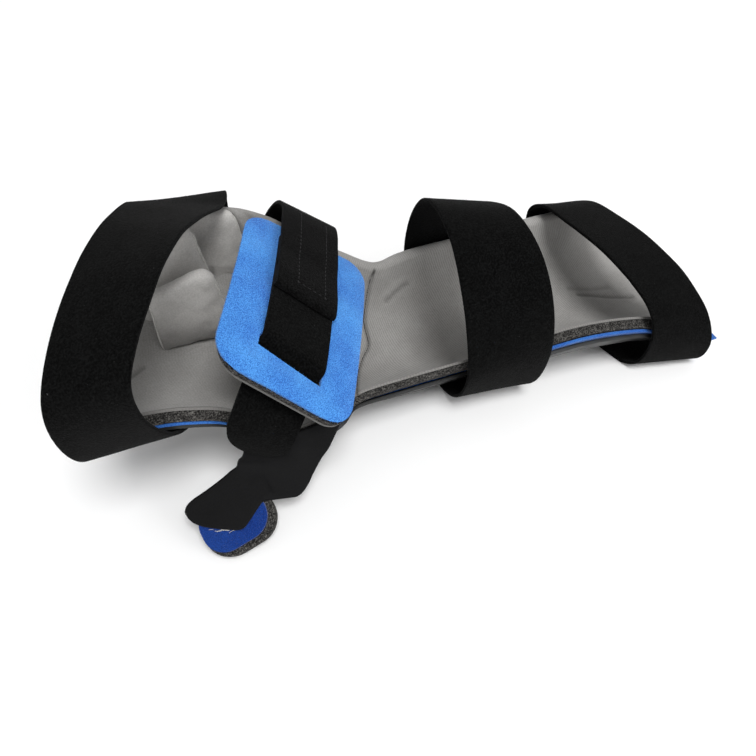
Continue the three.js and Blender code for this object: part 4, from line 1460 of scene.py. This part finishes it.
def strap_loop_points(strap, rows, columns):
    """Grid of a strap loop's outer face, from its left to its right edge."""
    outline = np.array(strap["outline"], float)
    t = np.arange(rows) / rows
    edges = []
    for side in (0, 1):
        place = loop_curve(outline[:, 2 * side : 2 * side + 2], t)
        y, z = place[:, 0], np.maximum(place[:, 1], 0)
        x = strap["x"][side] + strap["lean"][side] * soft_limit(y, strap["limit"])
        edges.append(np.stack([x, y, z], -1))
    share = np.linspace(0, 1, columns)[None, :, None]
    return edges[0][:, None] * (1 - share) + edges[1][:, None] * share


# Fibres on a square centimetre, their length and radius in millimetres
STRAP_NAP = (22, 0.6, 0.06)
PLUSH_NAP = (70, 1.0, 0.11)
# Slack of the strap loops in millimetres: size and depth of its waves, and the heights between which it grows
STRAP_SLACK = {"size": 38, "depth": 0.3, "from": 4, "to": 16}


class SPLINT_OT_straps(bpy.types.Operator):
    """Black strap loops round the wrist, the forearm and the fingers"""

    bl_idname = "splint.straps"
    bl_label = "Strap loops"

    def execute(self, context):
        for index, (node, strap) in enumerate(STRAP_LOOPS.items()):
            points = strap_loop_points(strap, LOOP_ROWS, LOOP_COLUMNS)
            around = np.roll(points, -1, axis=0) - np.roll(points, 1, axis=0)
            width = np.broadcast_to(points[:, -1:] - points[:, :1], points.shape)
            inward = unit(np.cross(around, width))
            middle = points.mean(axis=(0, 1))
            inward *= np.sign(np.sum(inward * (middle - points), axis=-1, keepdims=True).mean())
            waves = ripples(points, STRAP_SLACK["size"], SEEDS["strap waves"] + index)
            wave = STRAP_SLACK["depth"] * (1 + waves)
            low, high = STRAP_SLACK["from"], STRAP_SLACK["to"]
            free = np.clip((points[..., 2:] - low) / (high - low), 0, 1)
            loop = grid_object(f"{node}_loop", points + inward * wave[..., None] * free, closed_rows=True)
            thicken(loop, STRAP, -side_against(loop, inward[0, 0]), EDGES["strap"])
            mount_piece(loop, finish("strap"), "strap", node)
            seed = SEEDS["strap nap"] + index
            nap = napped(loop, f"{node}_nap", *STRAP_NAP, seed, finish("strap"), "strap")
        return {"FINISHED"}


ARC_STEPS = 14


def rounded_places(length, corner, steps):
    """Places along a rounded rectangle, close together at its two round ends."""
    arc = np.cos(np.linspace(0, math.pi / 2, ARC_STEPS))[:-1]
    end = length / 2 - corner + corner * arc
    straight = length / 2 - corner
    return np.concatenate([end, np.linspace(straight, -straight, steps), -end[::-1]])


def rounded_half(place, length, width, corner):
    """Half width of a rounded rectangle at places along its length."""
    past = np.clip(np.abs(place) - (length / 2 - corner), 0, corner)
    return width / 2 - corner + np.sqrt(np.maximum(corner**2 - past**2, 0.01))


# Swell of the plush in millimetres: width of its round rim, where the strap and the slot hold it down, the
# slope beside them, then its steady part and the size and share of its waves
PAD_SWELL = {"rim": 9, "strap": 17, "slot": 38, "slope": 6, "steady": 0.75, "size": 21, "share": 0.3}
PAD_GRID = {"columns": 64, "steps": 70}


def pad_sheet(name, height, swell, undercut):
    """Sheet of the palm pad at a height over its middle, swollen beside the strap.

    An undercut in millimetres keeps the finger side behind the plush."""
    across = rounded_places(PAD_ACROSS, PAD_CORNER, PAD_GRID["steps"])[:, None]
    half = rounded_half(across, PAD_ACROSS, PAD_ALONG, PAD_CORNER)
    share = np.linspace(-1, 1, PAD_GRID["columns"])[None, :]
    along = half * share - undercut * np.clip(share, 0, 1)
    drop = -PAD_DROP * (2 * across / PAD_ACROSS) ** 2
    edge = np.minimum(half - np.abs(along), PAD_ACROSS / 2 - np.abs(across))
    crown = np.clip(edge / PAD_SWELL["rim"], 0, 1)
    crown = crown * (2 - crown)
    beside = np.clip((np.abs(along) - PAD_SWELL["strap"]) / PAD_SWELL["slope"], 0, 1)
    below = np.clip((-across - PAD_SWELL["slot"]) / PAD_SWELL["slope"], 0, 1)
    free = np.maximum(beside, below)
    tapered = across * (1 - PAD_TAPER * along / (PAD_ALONG / 2))
    points = pad_point(tapered, along, height + drop)
    waves = PAD_SWELL["steady"] + PAD_SWELL["share"] * ripples(points, PAD_SWELL["size"], SEEDS["pad waves"])
    return grid_object(name, pad_point(tapered, along, height + drop + swell * crown * free * waves))


def pad_slot_cutter():
    """Box that cuts the strap's slot into the palm pad."""
    bpy.ops.mesh.primitive_cube_add(size=1)
    box = bpy.context.active_object
    far, fingers, up = pad_axes()
    lead = math.tan(PAD_SLOT["turn"])
    middle = pad_point(PAD_SLOT["across"], 0, 0)
    for vertex in box.data.vertices:
        along = vertex.co.y * PAD_SLOT["length"]
        across = vertex.co.x * PAD_SLOT["width"] + lead * along
        vertex.co = in_frame(middle + far * across + fingers * along + up * vertex.co.z * PAD_SLOT["length"])
    outward(box)
    return box


class SPLINT_OT_palm_pad(bpy.types.Operator):
    """Blue plush palm pad with its foam core and grey back"""

    bl_idname = "splint.palm_pad"
    bl_label = "Palm pad"

    def execute(self, context):
        swell = context.scene.splint_sizes.plush_swell / MM
        face_top = PAD_FOAM_TOP + GAP + PAD_FACE
        back_top = PAD_FOAM_TOP - PAD_FOAM - GAP
        layers = (
            ("palm_pad_plush", face_top, PAD_FACE, 1.2, swell, 0.0, "plush", "blue_loop", "palm_pad_face"),
            ("palm_pad_core", PAD_FOAM_TOP, PAD_FOAM, 0.7, 0.0, 2.5, "foam", "foam", "palm_pad_foam"),
            ("palm_pad_cloth_back", back_top, PAD_BACK, 0.4, 0.0, 3.5, "pad back", "lining", "palm_pad_back"),
        )
        for name, top, thickness, rounding, lift, undercut, look, slot, node in layers:
            layer = pad_sheet(name, top, lift, undercut)
            thicken(layer, thickness, side_against(layer, pad_axes()[2]), rounding)
            cut(layer, pad_slot_cutter())
            mount_piece(layer, finish(look), slot, node)
            if look == "foam":
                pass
            else:
                nap = []
                if look == "plush":
                    seed = SEEDS["palm pad nap"]
                    nap = [napped(layer, "palm_pad_nap", *PLUSH_NAP, seed, finish(look), slot)]
        return {"FINISHED"}


# Round end of a band: how rows crowd to it, and the least share of the width squared at its tip
ROUND_END = {"crowding": 1.6, "least": 0.0009}


def palm_band_points(route, rows, columns, end_radius):
    """Grid of a palm strap on its route, with a square last end or one rounded to a radius."""
    across, height, shift, skew = np.array(route, float).T
    half = PALM_STRAP_WIDTH / 2
    t = np.linspace(0, 1, rows)
    if end_radius > 0:
        t = 1 - (1 - t) ** ROUND_END["crowding"]
    edges = []
    for reach in (-half, half):
        edges.append(smooth_curve(pad_point(across + skew * reach, shift + reach, height), t))
    middle = (edges[0] + edges[1]) / 2
    share = np.ones(rows)
    if end_radius > 0:
        past = np.clip(end_radius - np.linalg.norm(middle - middle[-1], axis=-1), 0, end_radius)
        share = np.sqrt(np.maximum(1 - (past / end_radius) ** 2, ROUND_END["least"]))
    spread = np.linspace(-0.5, 0.5, columns)[None, :, None] * share[:, None, None]
    return middle[:, None] + (edges[1] - edges[0])[:, None] * spread


# Seams of the overlap: shares along it of the hem and of their far end, shares across it of both sides, and
# a stitch's size in millimetres
LAP_STITCHES = {"hem": 0.342, "crest": 0.655, "sides": (0.222, 0.68), "stitch": (1.1, 0.26, 0.2)}
LAP_GRID = (400, 101)
BAND_GRID = (150, 20)


def lap_seams():
    """Lines of the seams on the overlap's upper face: across its hem and along both sides."""
    rows, columns = LAP_GRID
    grid = palm_band_points(PALM_OVERLAP_ROUTE, rows, columns, 0.0)
    above = unit(np.cross(np.gradient(grid, axis=0), np.gradient(grid, axis=1)))
    face = grid + above * (STRAP / 2)
    first, last = (round(LAP_STITCHES[key] * (rows - 1)) for key in ("hem", "crest"))
    left, right = (round(share * (columns - 1)) for share in LAP_STITCHES["sides"])
    return [face[first, left : right + 1], face[first:last, left], face[first:last, right]]


class SPLINT_OT_palm_strap(bpy.types.Operator):
    """Palm strap through the pad's slot, and the end that overlaps it"""

    bl_idname = "splint.palm_strap"
    bl_label = "Palm strap"

    def execute(self, context):
        half = PALM_STRAP_WIDTH / 2
        bands = (
            ("palm_strap_band", PALM_STRAP_ROUTE, half, "palm_strap", (0.036, 0.150), "palm_pad_plush"),
            (
                "palm_strap_lap", PALM_OVERLAP_ROUTE, 0.0, "palm_strap_overlap", (0.036, 0.146),
                "palm_strap_band",
            ),
        )
        for name, route, radius, node, flat, rest in bands:
            band = grid_object(name, palm_band_points(route, *BAND_GRID, radius))
            thicken(band, STRAP, 0, EDGES["strap"])
            mount_piece(band, finish("strap"), "strap", node)
            seed = SEEDS["palm strap nap"]
            nap = napped(band, f"{node}_nap", *STRAP_NAP, seed, finish("strap"), "strap")
        pitch = context.scene.splint_sizes.stitch_pitch / MM
        stitch = LAP_STITCHES["stitch"]
        sewn("palm_strap_stitches", lap_seams(), pitch, stitch, finish("black thread"), "strap")
        return {"FINISHED"}


THUMB_PAD_GRID = (24, 30)


def thumb_pad_sheet(name, depth, trim):
    """Sheet of the thumb pad at a depth under the thumb's plane, trimmed on its elbow and lower sides."""
    length, width = THUMB_PAD["length"] - trim, THUMB_PAD["width"] - trim
    corner = THUMB_PAD["corner"] - trim / 2
    steps, columns = THUMB_PAD_GRID
    place = rounded_places(length, corner, steps)[:, None]
    across = rounded_half(place, length, width, corner) * np.linspace(-1, 1, columns)[None, :]
    along, down = THUMB_PAD["along"] + trim / 2, THUMB_PAD["down"] - trim / 2
    return grid_object(name, thumb_point(along + place, down + across, -depth))


# Loose threads in millimetres and radians: how many, points of each, radius, depth and arch, then the ranges
# of their place along the tongue, length, turn, bend, place past the edge and lift
LOOSE_THREADS = {
    "count": 9, "points": 8, "radius": 0.13, "depth": 0.9, "arch": 0.5,
    "along": (22.0, 32.0), "length": (1.5, 3.8), "turn": (-1.1, -0.2), "bend": (-0.12, 0.12),
    "past": (0.1, 0.9), "lift": (-0.2, 0.3),
}


def loose_threads():
    """Lines of short loose threads along the tongue's lower edge."""
    spread = np.random.default_rng(SEEDS["loose threads"])
    draw = lambda key: spread.uniform(*LOOSE_THREADS[key])
    rows = np.array(TONGUE_ROWS, float)
    points = LOOSE_THREADS["points"]
    arch = LOOSE_THREADS["arch"] * np.sin(np.linspace(0, math.pi, points)) - LOOSE_THREADS["depth"]
    lines = []
    for _ in range(LOOSE_THREADS["count"]):
        start = draw("along")
        edge = np.interp(start, rows[:, 0], rows[:, 2])
        turn = draw("turn")
        reach = np.linspace(0, draw("length"), points)
        bend = draw("bend") * reach**2
        along = start + reach * math.cos(turn) - bend * math.sin(turn)
        down = edge + draw("past") + reach * math.sin(turn) + bend * math.cos(turn)
        lines.append(thumb_point(along, down, arch + draw("lift")))
    return lines


class SPLINT_OT_thumb_pad(bpy.types.Operator):
    """Blue pad with its foam under the thumb tongue"""

    bl_idname = "splint.thumb_pad"
    bl_label = "Thumb pad"

    def execute(self, context):
        face_top = SHELL / 2 + GAP
        foam_top = face_top + THUMB_PAD["face"] + GAP
        face, trim = THUMB_PAD["face"], THUMB_PAD["trim"]
        layers = (
            ("thumb_pad_plush", face_top, face, 1.0, trim, "loop", "blue_loop", "thumb_pad_face"),
            ("thumb_pad_core", foam_top, FOAM, 1.2, 0.0, "foam", "foam", "thumb_pad_foam"),
        )
        for name, top, thickness, rounding, cut_back, look, slot, node in layers:
            layer = thumb_pad_sheet(name, top, cut_back)
            thicken(layer, thickness, side_against(layer, thumb_axes()[2]), rounding)
            cut(layer, thumb_form("thumb_room", SHELL + 2 * GAP))
            mount_piece(layer, finish(look), slot, node)
            if look == "foam":
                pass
            else:
                seed = SEEDS["thumb pad nap"]
                nap = napped(layer, "thumb_pad_nap", *PLUSH_NAP, seed, finish(look), slot)
        radius = LOOSE_THREADS["radius"]
        threads("thumb_pad_threads", loose_threads(), radius, finish("pale thread"), "lining")
        return {"FINISHED"}


# Stage

CAMERA_DRAWN = np.array((-179.7, -280.9, 313.2))
CAMERA_AZIMUTH = -23.0
CAMERA_ELEVATION = 45.0
CAMERA_LENS = 32.0
CAMERA_SENSOR = 36.0
CAMERA_NEAR = 0.01
FLOOR_SIZE = 60.0
# Places in metres, the key's strength and angle in degrees, the side light's power in watts and size
KEY_LIGHT = {"place": (0.02, -0.78, 1.5), "strength": 2.1, "angle": 24.0}
SIDE_LIGHT = {"place": (0.7, -1.1, 0.65), "power": 5.0, "size": 0.6}
# Sky brightness from the horizon to the zenith, as pairs of height and brightness
SKY = ((0.1, 0.92), (0.42, 0.43))


class SPLINT_OT_stage(bpy.types.Operator):
    """Pale floor, soft studio light and the camera"""

    bl_idname = "splint.stage"
    bl_label = "Stage"

    def execute(self, context):
        self.floor(context.scene.splint_colours.floor)
        self.lights()
        self.camera(context.scene)
        return {"FINISHED"}

    def floor(self, colour):
        """Wide pale floor under the splint."""
        bpy.ops.mesh.primitive_plane_add(size=FLOOR_SIZE)
        floor = bpy.context.active_object
        floor.name = "floor"
        material, _, shader = start_material("pale floor", 0.9, 0.1)
        shader.inputs["Base Color"].default_value = colour
        floor.data.materials.append(material)

    def lights(self):
        """Soft key, small side light and a plain sky."""
        key = bpy.data.lights.new("key", "SUN")
        key.energy = KEY_LIGHT["strength"]
        key.angle = math.radians(KEY_LIGHT["angle"])
        side = bpy.data.lights.new("side", "AREA")
        side.energy = SIDE_LIGHT["power"]
        side.size = SIDE_LIGHT["size"]
        for lamp, place in ((key, KEY_LIGHT["place"]), (side, SIDE_LIGHT["place"])):
            obj = bpy.data.objects.new(lamp.name, lamp)
            obj.location = place
            obj.rotation_euler = (-Vector(place)).to_track_quat("-Z", "Y").to_euler()
            bpy.context.scene.collection.objects.link(obj)
        world = bpy.data.worlds.new("studio")
        world.use_nodes = True
        tree = world.node_tree
        place = tree.nodes.new("ShaderNodeTexCoord")
        split = tree.nodes.new("ShaderNodeSeparateXYZ")
        tree.links.new(place.outputs["Generated"], split.inputs[0])
        sky = ramp(tree, split.outputs["Z"], *((height, (level, level, level, 1)) for height, level in SKY))
        tree.links.new(sky, tree.nodes["Background"].inputs["Color"])
        bpy.context.scene.world = world

    def camera(self, scene):
        """Camera above the near side."""
        azimuth, elevation = math.radians(CAMERA_AZIMUTH), math.radians(CAMERA_ELEVATION)
        back = Vector((
            math.sin(azimuth) * math.cos(elevation),
            -math.cos(azimuth) * math.cos(elevation),
            math.sin(elevation),
        ))
        data = bpy.data.cameras.new("camera")
        data.lens = CAMERA_LENS
        data.sensor_width = CAMERA_SENSOR
        data.clip_start = CAMERA_NEAR
        camera = bpy.data.objects.new("camera", data)
        camera.location = in_frame(CAMERA_DRAWN)
        camera.rotation_euler = (-back).to_track_quat("-Z", "Y").to_euler()
        scene.collection.objects.link(camera)
        scene.camera = camera
        scene.view_settings.view_transform = "Standard"


OPERATORS = (
    SPLINT_OT_shell,
    SPLINT_OT_liner,
    SPLINT_OT_separators,
    SPLINT_OT_straps,
    SPLINT_OT_palm_pad,
    SPLINT_OT_palm_strap,
    SPLINT_OT_thumb_pad,
    SPLINT_OT_stage,
)


class SPLINT_PT_panel(bpy.types.Panel):
    """Sizes, colours and pieces of the splint"""

    bl_idname = "SPLINT_PT_panel"
    bl_label = "Resting hand splint"
    bl_space_type = "VIEW_3D"
    bl_region_type = "UI"
    bl_category = "Splint"

    def draw(self, context):
        for group in (context.scene.splint_sizes, context.scene.splint_colours):
            box = self.layout.box()
            for name in group.__annotations__:
                box.prop(group, name)
        for operator in OPERATORS:
            self.layout.operator(operator.bl_idname)


CLASSES = (SplintSizes, SplintColours, *OPERATORS, SPLINT_PT_panel)


def register():
    """Registers the classes and the scene's groups."""
    for cls in CLASSES:
        bpy.utils.register_class(cls)
    bpy.types.Scene.splint_sizes = PointerProperty(type=SplintSizes)
    bpy.types.Scene.splint_colours = PointerProperty(type=SplintColours)


def unregister():
    """Takes out what register put in."""
    del bpy.types.Scene.splint_colours
    del bpy.types.Scene.splint_sizes
    for cls in reversed(CLASSES):
        bpy.utils.unregister_class(cls)


def main():
    """Builds the splint."""
    register()
    for operator in OPERATORS:
        group, name = operator.bl_idname.split(".")
        getattr(getattr(bpy.ops, group), name)()


if __name__ == "__main__":
    main()
